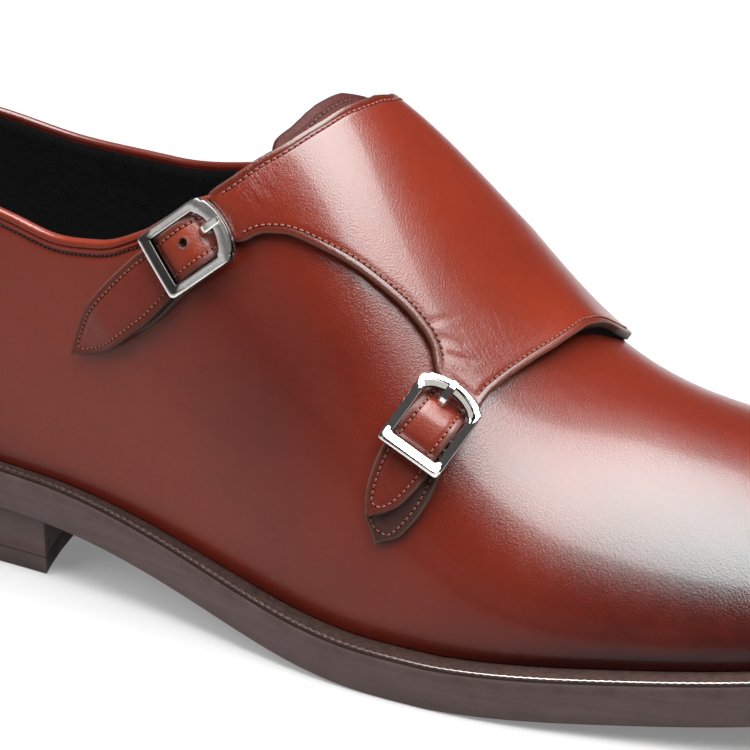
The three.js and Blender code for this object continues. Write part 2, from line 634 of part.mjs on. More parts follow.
// A closed loop of the buckle's frame: straight at the strap's tip, bowed towards the flap.
function frameLoop(inset) {
  const halfLength = BUCKLE.length / 2;
  const halfWidth = BUCKLE.width / 2 - inset * (BUCKLE.side / BUCKLE.bar);
  const radius = Math.max(BUCKLE.corner - inset * CORNER_LOSS, SMALLEST_CORNER);
  const loop = [];
  const corner = (s, t, start) => {
    for (const turn of steps(start, start + Math.PI / 2, CORNER_STEPS)) {
      loop.push({ s: s + radius * Math.cos(turn), t: t + radius * Math.sin(turn) });
    }
  };
  corner(halfLength - inset - radius, halfWidth - radius, 0);
  corner(-halfLength + inset + radius, halfWidth - radius, Math.PI / 2);
  for (const part of steps(...BOW_PARTS, BOW_STEPS)) {
    const t = halfWidth * (1 - 2 * part);
    loop.push({ s: -halfLength + inset - BUCKLE.bow * (1 - (t / halfWidth) ** 2), t });
  }
  corner(-halfLength + inset + radius, -halfWidth + radius, Math.PI);
  corner(halfLength - inset - radius, -halfWidth + radius, Math.PI * 1.5);
  return loop;
}

function frameHeight(s, t) {
  const { low, rise, from, to, dish } = FRAME_HEIGHT;
  return low + rise * THREE.MathUtils.smoothstep(s, from, to) - dish * t * t;
}

function place(buckle, s, t, height) {
  const { origin, out, along, side } = buckleFrame(buckle);
  return origin.clone().addScaledVector(along, s).addScaledVector(side, t).addScaledVector(out, height);
}

// Joins or cuts closed geometries.
function toManifold(geometry) {
  const vertProperties = new Float32Array(geometry.getAttribute('position').array);
  const triVerts = new Uint32Array(geometry.getIndex().array);
  return new wasm.Manifold(new wasm.Mesh({ numProp: 3, vertProperties, triVerts }));
}

function toGeometry(manifold) {
  const mesh = manifold.getMesh();
  const geometry = new THREE.BufferGeometry();
  geometry.setAttribute('position', new THREE.BufferAttribute(new Float32Array(mesh.vertProperties), 3));
  geometry.setIndex(new THREE.BufferAttribute(new Uint32Array(mesh.triVerts), 1));
  return geometry;
}

// A straight-sided bar that runs through a list of { s, height } points, `width` wide.
function barThrough(buckle, path, middle, width, thickness) {
  const sheet = new Sheet();
  const rows = path.map(({ s, height }) => [-0.5, 0.5].map((half) => (
    sheet.add(place(buckle, s, middle + half * width, height), buckleFrame(buckle).out, 0, thickness)
  )));
  return sheet.grid(rows).geometry();
}

function makeBuckleFrame(buckle) {
  const sheet = new Sheet();
  const { out } = buckleFrame(buckle);
  const outer = frameLoop(0);
  const inner = frameLoop(BUCKLE.bar);
  const rows = outer.map((edge, i) => [edge, inner[i]].map(({ s, t }) => (
    sheet.add(place(buckle, s, t, frameHeight(s, t)), out, 0, BUCKLE.thickness)
  )));
  const ring = toManifold(sheet.grid(rows, true).geometry());
  const { from, to, height, thickness } = CENTRE_BAR;
  const path = [{ s: from, height }, { s: to, height }];
  const bar = barThrough(buckle, path, 0, BUCKLE.width - BUCKLE.side, thickness);
  return toGeometry(ring.add(toManifold(bar)));
}

function makeProng(buckle) {
  return barThrough(buckle, PRONG_PATH, BUCKLE.prongShift, BUCKLE.prongWidth, BUCKLE.prongThickness);
}

function makeStrap(buckle) {
  const rise = tableCurve(buckle.rise, 's', 'up');
  const length = buckle.strap[buckle.strap.length - 1].s - buckle.strap[0].s;
  const strapSteps = Math.round(length / STRAP_STEP);
  const plain = strip(buckle, buckle.strap, rise, STRAP_LEATHER, strapSteps, STRAP_LANES);
  const [prongHole, spareHole] = [PRONG_HOLE, SPARE_HOLE].map(({ from, to, width }) => {
    const path = [{ s: from, height: HOLE_CUT.height }, { s: to, height: HOLE_CUT.height }];
    return toManifold(barThrough(buckle, path, BUCKLE.prongShift, width, HOLE_CUT.thickness));
  });
  return toGeometry(toManifold(plain).subtract(prongHole).subtract(spareHole));
}

function makeTab(buckle) {
  return strip(buckle, buckle.tab, () => CURVED_GAP, TAB_LEATHER, TAB_STEPS, STRAP_LANES);
}

// ---------------------------------------------------------------- the assembly

const leather = { color: 0x8a3a22, roughness: 0.35, metalness: 0 };
const darkLeather = { color: 0x5e2a22, roughness: 0.6, metalness: 0 };
const rawLeather = { color: 0x8a6450, roughness: 0.8, metalness: 0 };
const soleLeather = { color: 0x5a4c46, roughness: 0.5, metalness: 0 };
const weltLeather = { color: 0x3a1c16, roughness: 0.5, metalness: 0 };
const rubber = { color: 0x3c3532, roughness: 0.7, metalness: 0 };
const steel = { color: 0xc8c8c8, roughness: 0.2, metalness: 1 };

const shoe = new THREE.Group();

function addPiece(name, geometry, finish) {
  const mesh = new THREE.Mesh(geometry, new THREE.MeshStandardMaterial(finish));
  mesh.name = name;
  shoe.add(mesh);
}

addPiece('outsole', makeOutsole(), soleLeather);
addPiece('welt', makeWelt(), weltLeather);
addPiece('heel_stack', makeHeelStack(), soleLeather);
addPiece('heel_top_piece', makeHeelTopPiece(), rubber);
addPiece('insole', makeInsole(), rawLeather);
addPiece('upper', makeUpper(), leather);
addPiece('tongue', makeTongue(), darkLeather);
addPiece('monk_flap', makeFlap(), leather);
for (const buckle of [UPPER_BUCKLE, LOWER_BUCKLE]) {
  addPiece(`strap_${buckle.name}`, makeStrap(buckle), leather);
  addPiece(`buckle_tab_${buckle.name}`, makeTab(buckle), rawLeather);
  addPiece(`buckle_frame_${buckle.name}`, makeBuckleFrame(buckle), steel);
  addPiece(`buckle_prong_${buckle.name}`, makeProng(buckle), steel);
}

export default shoe;
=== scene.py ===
"""The looks of a right-foot double monk strap shoe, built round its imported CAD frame.

Tables and shape functions are in millimetres, in the frame's axes: +X to the toe, +Y to the inner
side, +Z up, with the floor at 0. piece() turns them into metres. The last's surface below is the
CAD's own, so each visible skin follows the CAD node that it stands for, at most 3 mm off it.
"""

import math

import bpy
import numpy as np
from mathutils import Matrix, Vector
from mathutils.kdtree import KDTree


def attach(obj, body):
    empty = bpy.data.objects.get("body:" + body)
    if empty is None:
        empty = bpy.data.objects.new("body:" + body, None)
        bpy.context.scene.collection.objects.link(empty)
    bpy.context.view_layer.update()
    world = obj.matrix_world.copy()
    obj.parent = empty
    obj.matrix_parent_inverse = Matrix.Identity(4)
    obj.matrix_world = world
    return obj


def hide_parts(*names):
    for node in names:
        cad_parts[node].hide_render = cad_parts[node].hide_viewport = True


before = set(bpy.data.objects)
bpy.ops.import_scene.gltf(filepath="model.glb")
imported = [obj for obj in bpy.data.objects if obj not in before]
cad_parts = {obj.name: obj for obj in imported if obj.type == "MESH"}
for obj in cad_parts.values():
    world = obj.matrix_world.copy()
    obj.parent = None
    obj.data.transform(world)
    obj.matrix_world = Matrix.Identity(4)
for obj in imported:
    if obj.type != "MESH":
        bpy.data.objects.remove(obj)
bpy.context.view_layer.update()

MM = 0.001

# ------------------------------------------------------------------------------- driving sizes

OUTSOLE_THICKNESS = 7.3
WELT_THICKNESS = 2.9
JOINT_GAP = 0.3                 # left between the welt and the upper
HEEL_BREAST_X = -75.0
HEEL_BREAST_SETBACK = 4.5
HEEL_HEIGHT = 13.6
HEEL_SEAT_SLOPE = 0.062
HEEL_TAPER = 1.2
TOP_PIECE_THICKNESS = 4.2
BALL_X = 14.0
SPRING_START_X = 27.0
TOE_TIP_X = 150.0
TOE_SPRING = 15.3
TOE_SPRING_POWER = 1.3

WALL = 2.0                      # the upper's leather and lining
FLAP_GAP = 0.5                  # from the upper to the flap's underside
FLAP_LEATHER = 1.9
TONGUE_DEPTH = 3.7              # from the last's face down to the tongue
TONGUE_LEATHER = 2.0
TONGUE_DOME = 2.4               # how much higher the tongue stands at its top edge
STRAP_LEATHER = 1.7
TAB_LEATHER = 1.4
INSOLE_TOP = 12.7               # above the outsole's underside

STITCH_PITCH = 1.42
STITCH_INSET = 1.75             # from a cut edge to its row of stitches
REAR_INSET = 1.95               # the same along the flap's rear edge
EDGE_ROUND = 0.55               # how a cut edge is rounded over

# The last's stations from the heel to the toe, as in the CAD: the sole's edge, the welt's width,
# the ridge, then fullness, swell and crown of the rib that climbs from the edge to the ridge.
STATION_COLUMNS = ("x", "lat", "med", "welt_lat", "welt_med", "ridge_x", "ridge_y", "ridge_z",
                   "full_lat", "full_med", "swell_lat", "swell_med", "crown")
STATIONS = [
    (-150.0, 0.0, 0.0, 3.0, 3.0, -104, 0.0, 122.0, 0.62, 0.62, 6.0, 6.0, 60),
    (-141.5, 22.5, 22.0, 3.0, 3.0, -101, 0.0, 122.0, 0.62, 0.62, 5.0, 5.0, 60),
    (-117.0, 32.0, 32.5, 3.0, 3.0, -92, 0.0, 122.0, 0.62, 0.62, 3.0, 3.0, 60),
    (-78.0, 35.0, 32.5, 3.0, 3.0, -71, 0.0, 121.0, 0.60, 0.58, 3.0, 4.5, 50),
    (-36.0, 42.0, 29.0, 4.0, 3.0, -38, 1.0, 118.0, 0.50, 0.45, 3.0, 7.0, 32),
    (0.0, 50.5, 34.0, 5.0, 3.5, -4, 3.0, 104.0, 0.42, 0.42, 3.0, 6.0, 30),
    (36.0, 52.5, 46.5, 5.5, 5.0, 32, 5.0, 65.0, 0.45, 0.50, 3.5, 4.0, 34),
    (66.0, 48.7, 52.7, 5.5, 5.5, 62, 6.5, 48.0, 0.50, 0.55, 3.5, 3.5, 42),
    (96.0, 42.8, 49.6, 5.5, 5.5, 88, 7.0, 44.5, 0.55, 0.58, 3.0, 3.0, 46),
    (123.0, 32.5, 39.5, 5.5, 5.5, 106, 6.0, 45.0, 0.58, 0.60, 3.0, 3.0, 42),
    (141.5, 17.0, 26.0, 5.5, 5.5, 115, 5.0, 44.6, 0.60, 0.60, 3.0, 3.0, 36),
    (150.0, -4.0, 4.0, 5.5, 5.5, 117.5, 4.0, 44.3, 0.60, 0.60, 3.0, 3.0, 34),
]
TOE = len(STATIONS) - 1         # station number of the toe; the heel is 0
LOOP = 2 * TOE                  # stations once round: outer side out, inner side back

# (station, part of the rib that the upper covers) on each side, and where the throat ends.
RIM_LATERAL = [(0, 0.445), (1, 0.445), (2, 0.44), (2.9, 0.406), (3.15, 0.397), (3.45, 0.422),
               (3.71, 0.48), (3.87, 0.534), (4.03, 0.588), (4.3, 0.64), (4.6, 0.68), (5.0, 0.7),
               (5.35, 0.73), (5.6, 0.82), (5.75, 1)]
RIM_MEDIAL = [(0, 0.445), (1, 0.42), (1.9, 0.37), (2.55, 0.344), (3.1, 0.361), (3.6, 0.425),
              (4.1, 0.56), (4.6, 0.7), (5.2, 0.77), (5.6, 0.86), (5.75, 1)]
THROAT_STATION = 5.75

# (how far across, station) of the flap's and tongue's ends: below 1 is the outer side, 1 is the
# ridge and 2 is the feather line on the inner side.
FLAP_REAR = [(0.5, 4.0), (0.6, 4.1), (0.65, 4.22), (0.712, 4.367), (0.754, 4.468),
             (0.803, 4.559), (0.856, 4.642), (0.915, 4.713), (0.95, 4.757), (1, 4.803),
             (1.06, 4.812), (1.1, 4.792), (1.135, 4.772), (1.2, 4.715), (1.3, 4.56), (1.45, 4.2),
             (1.55, 4.0), (1.75, 3.82), (2, 3.85)]
FLAP_FRONT = [(0.5, 5.79), (0.6, 5.8), (0.64, 5.82), (0.68, 5.857), (0.8, 5.97), (0.9, 6.05),
              (1, 6.1), (1.1, 6.12), (1.2, 6.15), (1.3, 6.14), (1.45, 5.95), (1.75, 5.45),
              (2, 5.05)]
FLAP_FOOT = 1.98
# (part of the way from rear to front edge, how far across) of the flap's scalloped outer edge.
FLAP_EDGE = [(0, 0.602), (0.029, 0.589), (0.069, 0.577), (0.105, 0.563), (0.135, 0.551),
             (0.16, 0.546), (0.19, 0.557), (0.22, 0.58), (0.268, 0.599), (0.3, 0.609),
             (0.4, 0.625), (0.55, 0.645), (0.68, 0.652), (0.76, 0.645), (0.8, 0.634),
             (0.826, 0.618), (0.845, 0.602), (0.865, 0.59), (0.89, 0.587), (0.93, 0.591),
             (0.967, 0.594), (1, 0.6)]
TONGUE_REAR = [(0.64, 4.6), (0.7, 4.42), (0.76, 4.397), (0.833, 4.485), (0.905, 4.55),
               (0.97, 4.612), (1.032, 4.67), (1.067, 4.685), (1.123, 4.69), (1.2, 4.72),
               (1.36, 4.9)]
TONGUE_FRONT_STATION = 6.0

BUCKLE = {"length": 16.8, "width": 15.2, "bow": 2.0, "bar": 2.6, "side": 2.0, "corner": 1.1,
          "prong_width": 1.9, "prong_thickness": 1.1, "prong_shift": -0.9}
# Each buckle's seat on the last (station, part of the rib), the way its strap points, and tables
# of (along the strap, left edge, right edge) and (along the strap, height over the last). Both
# straps start alike, from their root through the buckle.
STRAP_START = [(-8.2, -5.0, 4.6), (-4, -5.3, 5.0), (0, -5.4, 5.1), (5.5, -5.4, 5.2)]
RISE_START = [(-8.2, 0.7), (-7, 0.8), (-5.7, 1.3), (-4, 3.0), (-0.5, 4.3), (2.6, 4.1), (4.2, 3.6),
              (5.6, 2.6), (7.5, 2.3)]
UPPER_BUCKLE = {
    "name": "upper", "at": 4.045, "up": 0.499, "toward": (-0.761, -0.217, -0.611),
    "strap": STRAP_START + [(10, -5.3, 6.6), (20, -4.7, 7.6), (29, -3.4, 7.3), (36, -0.7, 5.2),
                            (40.5, 1.6, 2.6)],
    "rise": RISE_START + [(26, 2.3), (32, 1.2), (36, 0.6), (40.5, 0.5)],
    "tab": [(1.6, -4.4, 6.6), (10, -4.3, 7.4), (17, -3.4, 8.2), (22, -1.0, 7.8), (26, 2.4, 6.6),
            (28, 4.4, 5.4)],
}
LOWER_BUCKLE = {
    "name": "lower", "at": 5.573, "up": 0.49, "toward": (-0.333, -0.675, -0.658),
    "strap": STRAP_START + [(9, -4.9, 6.0), (15, -2.9, 5.4), (18.5, -0.8, 3.4), (20.3, 0.6, 1.6)],
    "rise": RISE_START + [(20.3, 2.3)],
    "tab": [(1.6, -4.2, 6.8), (7, -3.9, 8.0), (12, -3.3, 9.1), (16, -2.3, 9.4), (21, 0.2, 8.7),
            (24.5, 5.0, 6.0)],
}

# The camera: where it looks, its angles in degrees, its distance and its lens.
CAMERA_TARGET = (-25.2, 31.8, 30.0)
CAMERA_AZIMUTH = 26.7
CAMERA_ELEVATION = 25.5
CAMERA_ROLL = -1.24
CAMERA_DISTANCE = 849.0
CAMERA_LENS = 178.9
CAMERA_SENSOR = 36.0

# ------------------------------------------------------------------------------- curves


def loop_curve(values):
    """A smooth closed curve through equally spaced values, as a function of the station."""
    v = np.asarray(values, float)
    n = len(v)
    matrix = 4 * np.eye(n) + np.roll(np.eye(n), 1, 0) + np.roll(np.eye(n), -1, 0)
    bend = np.linalg.solve(matrix, 6 * (np.roll(v, 1) - 2 * v + np.roll(v, -1)))

    def curve(at):
        at = np.mod(np.asarray(at, float), n)
        i = np.floor(at).astype(int) % n
        j = (i + 1) % n
        b = at - np.floor(at)
        a = 1 - b
        return a * v[i] + b * v[j] + ((a**3 - a) * bend[i] + (b**3 - b) * bend[j]) / 6

    return curve


def table_curve(rows, column=1):
    """A smooth curve through a table's rows that never overshoots them."""
    key = np.array([row[0] for row in rows], float)
    value = np.array([row[column] for row in rows], float)
    grade = np.diff(value) / np.diff(key)
    slope = np.zeros(len(key))
    for i in range(1, len(key) - 1):
        if grade[i - 1] * grade[i] > 0:
            slope[i] = 2 * grade[i - 1] * grade[i] / (grade[i - 1] + grade[i])

    def curve(at):
        at = np.clip(np.asarray(at, float), key[0], key[-1])
        i = np.clip(np.searchsorted(key, at) - 1, 0, len(key) - 2)
        width = key[i + 1] - key[i]
        t = (at - key[i]) / width
        rise = (value[i + 1] - value[i]) * t * t * (3 - 2 * t)
        return value[i] + rise + width * (slope[i] * t * (1 - t) ** 2 - slope[i + 1] * t * t * (1 - t))

    return curve


def unit(v):
    return v / np.maximum(np.linalg.norm(v, axis=-1, keepdims=True), 1e-12)


def smooth(low, high, value):
    t = np.clip((np.asarray(value, float) - low) / (high - low), 0, 1)
    return t * t * (3 - 2 * t)


def hill(far, width):
    """A smooth hill: 1 where far is 0, and about a third of that a width away."""
    return np.exp(-((far / width) ** 2))


def lengths(points):
    """How far along a line of points each point is."""
    return np.concatenate([[0], np.cumsum(np.linalg.norm(np.diff(points, axis=0), axis=1))])


def walk(points, spacing, *others):
    """Points at an even spacing along a line, with other values given at the same points."""
    reach = lengths(points)
    count = max(2, int(round(reach[-1] / spacing)) + 1)
    stops = np.linspace(0, reach[-1], count)
    tables = [points, *others]
    return [np.stack([np.interp(stops, reach, t[:, k]) for k in range(t.shape[1])], 1) for t in tables]


# ------------------------------------------------------------------------------- the last


def column(name):
    return [row[STATION_COLUMNS.index(name)] for row in STATIONS]


def loop_of(lateral, medial, sign=1):
    out = [sign * value for value in column(lateral)]
    return loop_curve(out + column(medial)[1:TOE][::-1])


edge_x = loop_of("x", "x")
edge_y = loop_of("lat", "med", -1)
welt_width = loop_of("welt_lat", "welt_med")
ridge_x = loop_of("ridge_x", "ridge_x")
ridge_y = loop_of("ridge_y", "ridge_y")
ridge_z = loop_of("ridge_z", "ridge_z")
fullness = loop_of("full_lat", "full_med")
swell = loop_of("swell_lat", "swell_med")
crown = loop_of("crown", "crown")
SMALL = 0.001
END_MARGIN = 0.1
TOE_POLE = 0.4                  # stations either side of the toe whose ribs meet at one point


def slope_of(curve, at):
    return (curve(at + SMALL) - curve(at - SMALL)) / (2 * SMALL)


def sole_height(x):
    """Height of the outsole's underside."""
    x = np.asarray(x, float)
    waist = BALL_X - HEEL_BREAST_X
    t = np.clip((x - HEEL_BREAST_X) / waist, 0, 1)
    drop = HEEL_HEIGHT * (2 * t**3 - 3 * t**2 + 1)
    seat = -HEEL_SEAT_SLOPE * waist * (t**3 - 2 * t**2 + t)
    spring = np.clip((x - SPRING_START_X) / (TOE_TIP_X - SPRING_START_X), 0, None)
    ahead = drop + seat + TOE_SPRING * spring**TOE_SPRING_POWER
    return np.where(x < HEEL_BREAST_X, HEEL_HEIGHT + (HEEL_BREAST_X - x) * HEEL_SEAT_SLOPE, ahead)


def edge_point(at, inset):
    """The sole's edge moved in by inset, and the direction that points out of it."""
    along_x, along_y = slope_of(edge_x, at), slope_of(edge_y, at)
    length = np.hypot(along_x, along_y)
    out_x, out_y = along_y / length, -along_x / length
    return edge_x(at) - out_x * inset, edge_y(at) - out_y * inset, out_x, out_y


def last_point(at, up):
    """A point of the upper's outer face: up runs from 0 at the feather line to 1 at the ridge."""
    at, up = np.broadcast_arrays(np.asarray(at, float), np.asarray(up, float))
    foot_x, foot_y, out_x, out_y = edge_point(at, welt_width(at))
    foot_z = sole_height(foot_x) + OUTSOLE_THICKNESS + WELT_THICKNESS + JOINT_GAP
    top_x, top_y, top_z = ridge_x(at), ridge_y(at), ridge_z(at)
    rise = top_z - foot_z
    full, lean = fullness(at), swell(at)
    in_x, in_y = top_x - foot_x, top_y - foot_y
    run = np.hypot(in_x, in_y)
    shoulder = np.minimum(np.sqrt((2 / 3) * crown(at) * (1 - full) * rise), 0.9 * run)
    from_toe = np.maximum(np.abs(TOE - np.mod(at, LOOP)), END_MARGIN)
    near = np.maximum(TOE - from_toe, END_MARGIN)
    fall = slope_of(ridge_z, near) / slope_of(ridge_x, near)
    a, b, c, d = (1 - up) ** 3, 3 * up * (1 - up) ** 2, 3 * up * up * (1 - up), up**3
    side_x, side_y = in_x / run * shoulder, in_y / run * shoulder
    return np.stack([
        a * foot_x + b * (foot_x + out_x * lean) + c * (top_x - side_x) + d * top_x,
        a * foot_y + b * (foot_y + out_y * lean) + c * (top_y - side_y) + d * top_y,
        a * foot_z + b * (foot_z + full * rise) + c * (top_z - side_x * fall) + d * top_z,
    ], -1)


def last_normal(at, up):
    up = np.asarray(up, float)
    level = np.where(np.abs(np.asarray(at) - TOE) < TOE_POLE, np.minimum(up, 0.97), up)
    along = last_point(at + SMALL, level) - last_point(at - SMALL, level)
    climb = last_point(at, np.minimum(up + SMALL, 1)) - last_point(at, np.maximum(up - SMALL, 0))
    normal = unit(np.cross(along, climb))
    facing_in = (up > 0.8)[..., None] & (normal[..., 2:] < 0)
    return np.where(facing_in, -normal, normal)


def across_point(at, across):
    """The same face measured across the ridge: below 1 outer side, above 1 inner side."""
    at, across = np.broadcast_arrays(np.asarray(at, float), np.asarray(across, float))
    lateral = last_point(at, np.minimum(across, 1))
    medial = last_point(LOOP - at, np.minimum(2 - across, 1))
    return np.where((across <= 1)[..., None], lateral, medial)


def across_normal(at, across):
    """Its normal, blended over the ridge so that a skin crosses it smoothly."""
    at, across = np.broadcast_arrays(np.asarray(at, float), np.asarray(across, float))
    lateral = last_normal(at, np.minimum(across, 1))
    medial = last_normal(LOOP - at, np.minimum(2 - across, 1))
    share = smooth(-0.02, 0.02, across - 1)[..., None]
    return unit(lateral * (1 - share) + medial * share)


# ------------------------------------------------------------------------------- mesh code


def grid_faces(rows, columns, start=0, closed=False):
    row = np.arange(rows if closed else rows - 1)[:, None]
    i, k = row * columns, (row + 1) % rows * columns
    j = np.arange(columns - 1)[None, :]
    return (start + np.stack([i + j, k + j, k + j + 1, i + j + 1], -1)).reshape(-1, 4)


WELD = 0.005                    # points that share a cell of this size are one


class Shape:
    """Points and faces gathered for one mesh, with named values at each point."""

    def __init__(self, *layers):
        self.points, self.faces, self.layers = [], [], {name: [] for name in layers}
        self.count = 0

    def grid(self, points, closed=False, **layers):
        """Adds a grid of points, and returns the number of each in the mesh."""
        rows, columns = points.shape[:2]
        self.faces.append(grid_faces(rows, columns, self.count, closed))
        return self.add(points, **layers).reshape(rows, columns)

    def add(self, points, **layers):
        flat = points.reshape(-1, 3)
        numbers = np.arange(len(flat)) + self.count
        self.points.append(flat)
        for name, values in self.layers.items():
            values.append(np.broadcast_to(layers.get(name, 0.0), points.shape[:-1]).reshape(-1))
        self.count += len(flat)
        return numbers

    def strip(self, first, second, closed=False):
        """Joins two lines of point numbers with a band of faces."""
        pair = np.stack([first, second], 1)
        shifted = np.roll(pair, -1, 0)
        quads = np.stack([pair[:, 0], shifted[:, 0], shifted[:, 1], pair[:, 1]], 1)
        self.faces.append(quads if closed else quads[:-1])

    def plate(self, face, back):
        """Closes two grids along their four borders."""
        for line in (np.s_[0, :], np.s_[-1, :], np.s_[:, 0], np.s_[:, -1]):
            self.strip(face[line], back[line])

    def sleeve(self, outer, inner):
        """Closes two grids that run round the shoe along their two borders."""
        for line in (np.s_[:, 0], np.s_[:, -1]):
            self.strip(outer[line], inner[line], closed=True)

    def finished(self, weld=True):
        """Points, faces and layers: doubled points are merged, and coincident faces drop out in pairs."""
        points = np.concatenate(self.points)
        faces = np.concatenate(self.faces)
        layers = {name: np.concatenate(values) for name, values in self.layers.items()}
        if weld:
            key = np.round(points / WELD).astype(np.int64)
            _, kept, number = np.unique(key, axis=0, return_index=True, return_inverse=True)
            points, faces = points[kept], number.reshape(-1)[faces]
            layers = {name: values[kept] for name, values in layers.items()}
        sound = {}
        for face in faces.tolist():
            corners = [c for n, c in enumerate(face) if c != face[n - 1]]
            if len(set(corners)) > 2 and len(set(corners)) == len(corners):
                known = tuple(sorted(corners))
                if sound.pop(known, None) is None:
                    sound[known] = corners
        return points, list(sound.values()), layers


def volume(points, polygons):
    """The volume inside the polygons, below 0 when they face inwards."""
    fan = np.array([(p[0], p[n], p[n + 1]) for p in polygons for n in range(1, len(p) - 1)])
    a, b, c = points[fan[:, 0]], points[fan[:, 1]], points[fan[:, 2]]
    return np.einsum("ij,ij->i", a, np.cross(b, c)).sum() / 6


def piece(name, shape, finish, replaces=(), crisp=50, weld=True):
    """Makes a shape into an object that rides on the shoe's one body."""
    points, polygons, layers = shape.finished(weld)
    if volume(points, polygons) < 0:
        polygons = [p[::-1] for p in polygons]
    mesh = bpy.data.meshes.new(name)
    mesh.from_pydata((points * MM).tolist(), [], polygons)
    for layer, values in layers.items():
        mesh.attributes.new(layer, "FLOAT", "POINT").data.foreach_set("value", values.astype(np.float32))
    mesh.polygons.foreach_set("use_smooth", np.ones(len(polygons), bool))
    mesh.set_sharp_from_angle(angle=math.radians(crisp))
    mesh.materials.append(finish)
    made = bpy.data.objects.new(name, mesh)
    bpy.context.scene.collection.objects.link(made)
    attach(made, "root")
    if replaces:
        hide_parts(*replaces)
    return made


def nearest(points, line):
    """Distance from each point to the nearest point of a line, and how far along it that is."""
    tree = KDTree(len(line))
    for number, point in enumerate(line):
        tree.insert(point, number)
    tree.balance()
    found = [tree.find(point) for point in points.reshape(-1, 3)]
    far = np.array([f[2] for f in found]).reshape(points.shape[:-1])
    number = np.array([f[1] for f in found]).reshape(points.shape[:-1])
    return far, number / max(len(line) - 1, 1)


# Spacing of a grid's first lanes from an edge inwards.
EDGE_GAPS = (0.12, 0.18, 0.25, 0.35, 0.4, 0.3, 0.3, 0.3, 0.4, 0.5)


def crowded(length, step):
    """Parts from 0 to 1 of a line, a step apart and closer together at its two ends."""
    near = np.cumsum(EDGE_GAPS) / length
    near = near[near < 0.4]
    count = max(2, int(round((1 - 2 * near[-1]) * length / step)))
    middle = np.linspace(near[-1], 1 - near[-1], count + 1)[1:-1]
    return np.concatenate([[0], near, middle, 1 - near[::-1], [1]])


def rounding(near, radius=EDGE_ROUND):
    """How far a face drops towards a rounded edge."""
    short = np.clip(1 - near / radius, 0, 1)
    return radius * (1 - np.sqrt(1 - short**2))


def seam_dip(near, inset=STITCH_INSET, depth=0.16, width=0.55):
    """The shallow trough that a row of stitches pulls."""
    return depth * hill(near - inset, width)


LINE_SPACING = 0.2              # of the points along a line that distances are measured to


def outline_of(points):
    """The closed outline of a grid, as evenly spaced points."""
    rim = np.concatenate([points[0], points[1:, -1], points[-1, -2::-1], points[-2::-1, 0]])
    return walk(rim, LINE_SPACING)[0]


def raised(points, normals, height):
    """Points moved along their normals."""
    return points + normals * np.asarray(height)[..., None]


AT_EDGE = 0.02                  # nearer than this to its outline, a point is on the cut face


def cut_leather(shape, points, normals, low, high, tone, dip, back_dark=0.0, **face_layers):
    """A cut piece of leather: a grid thickened along its normals, with rounded, pressed edges."""
    near, _ = nearest(points, outline_of(points))
    top = high - rounding(near) - seam_dip(near, depth=dip)
    raw = (near < AT_EDGE) * 0.55
    face = shape.grid(raised(points, normals, top), edge=near, tone=tone, raw=raw, **face_layers)
    back = shape.grid(raised(points, normals, low), edge=0.0, tone=tone, raw=1.0, dark=back_dark)
    shape.plate(face, back)


# ------------------------------------------------------------------------------- finishes


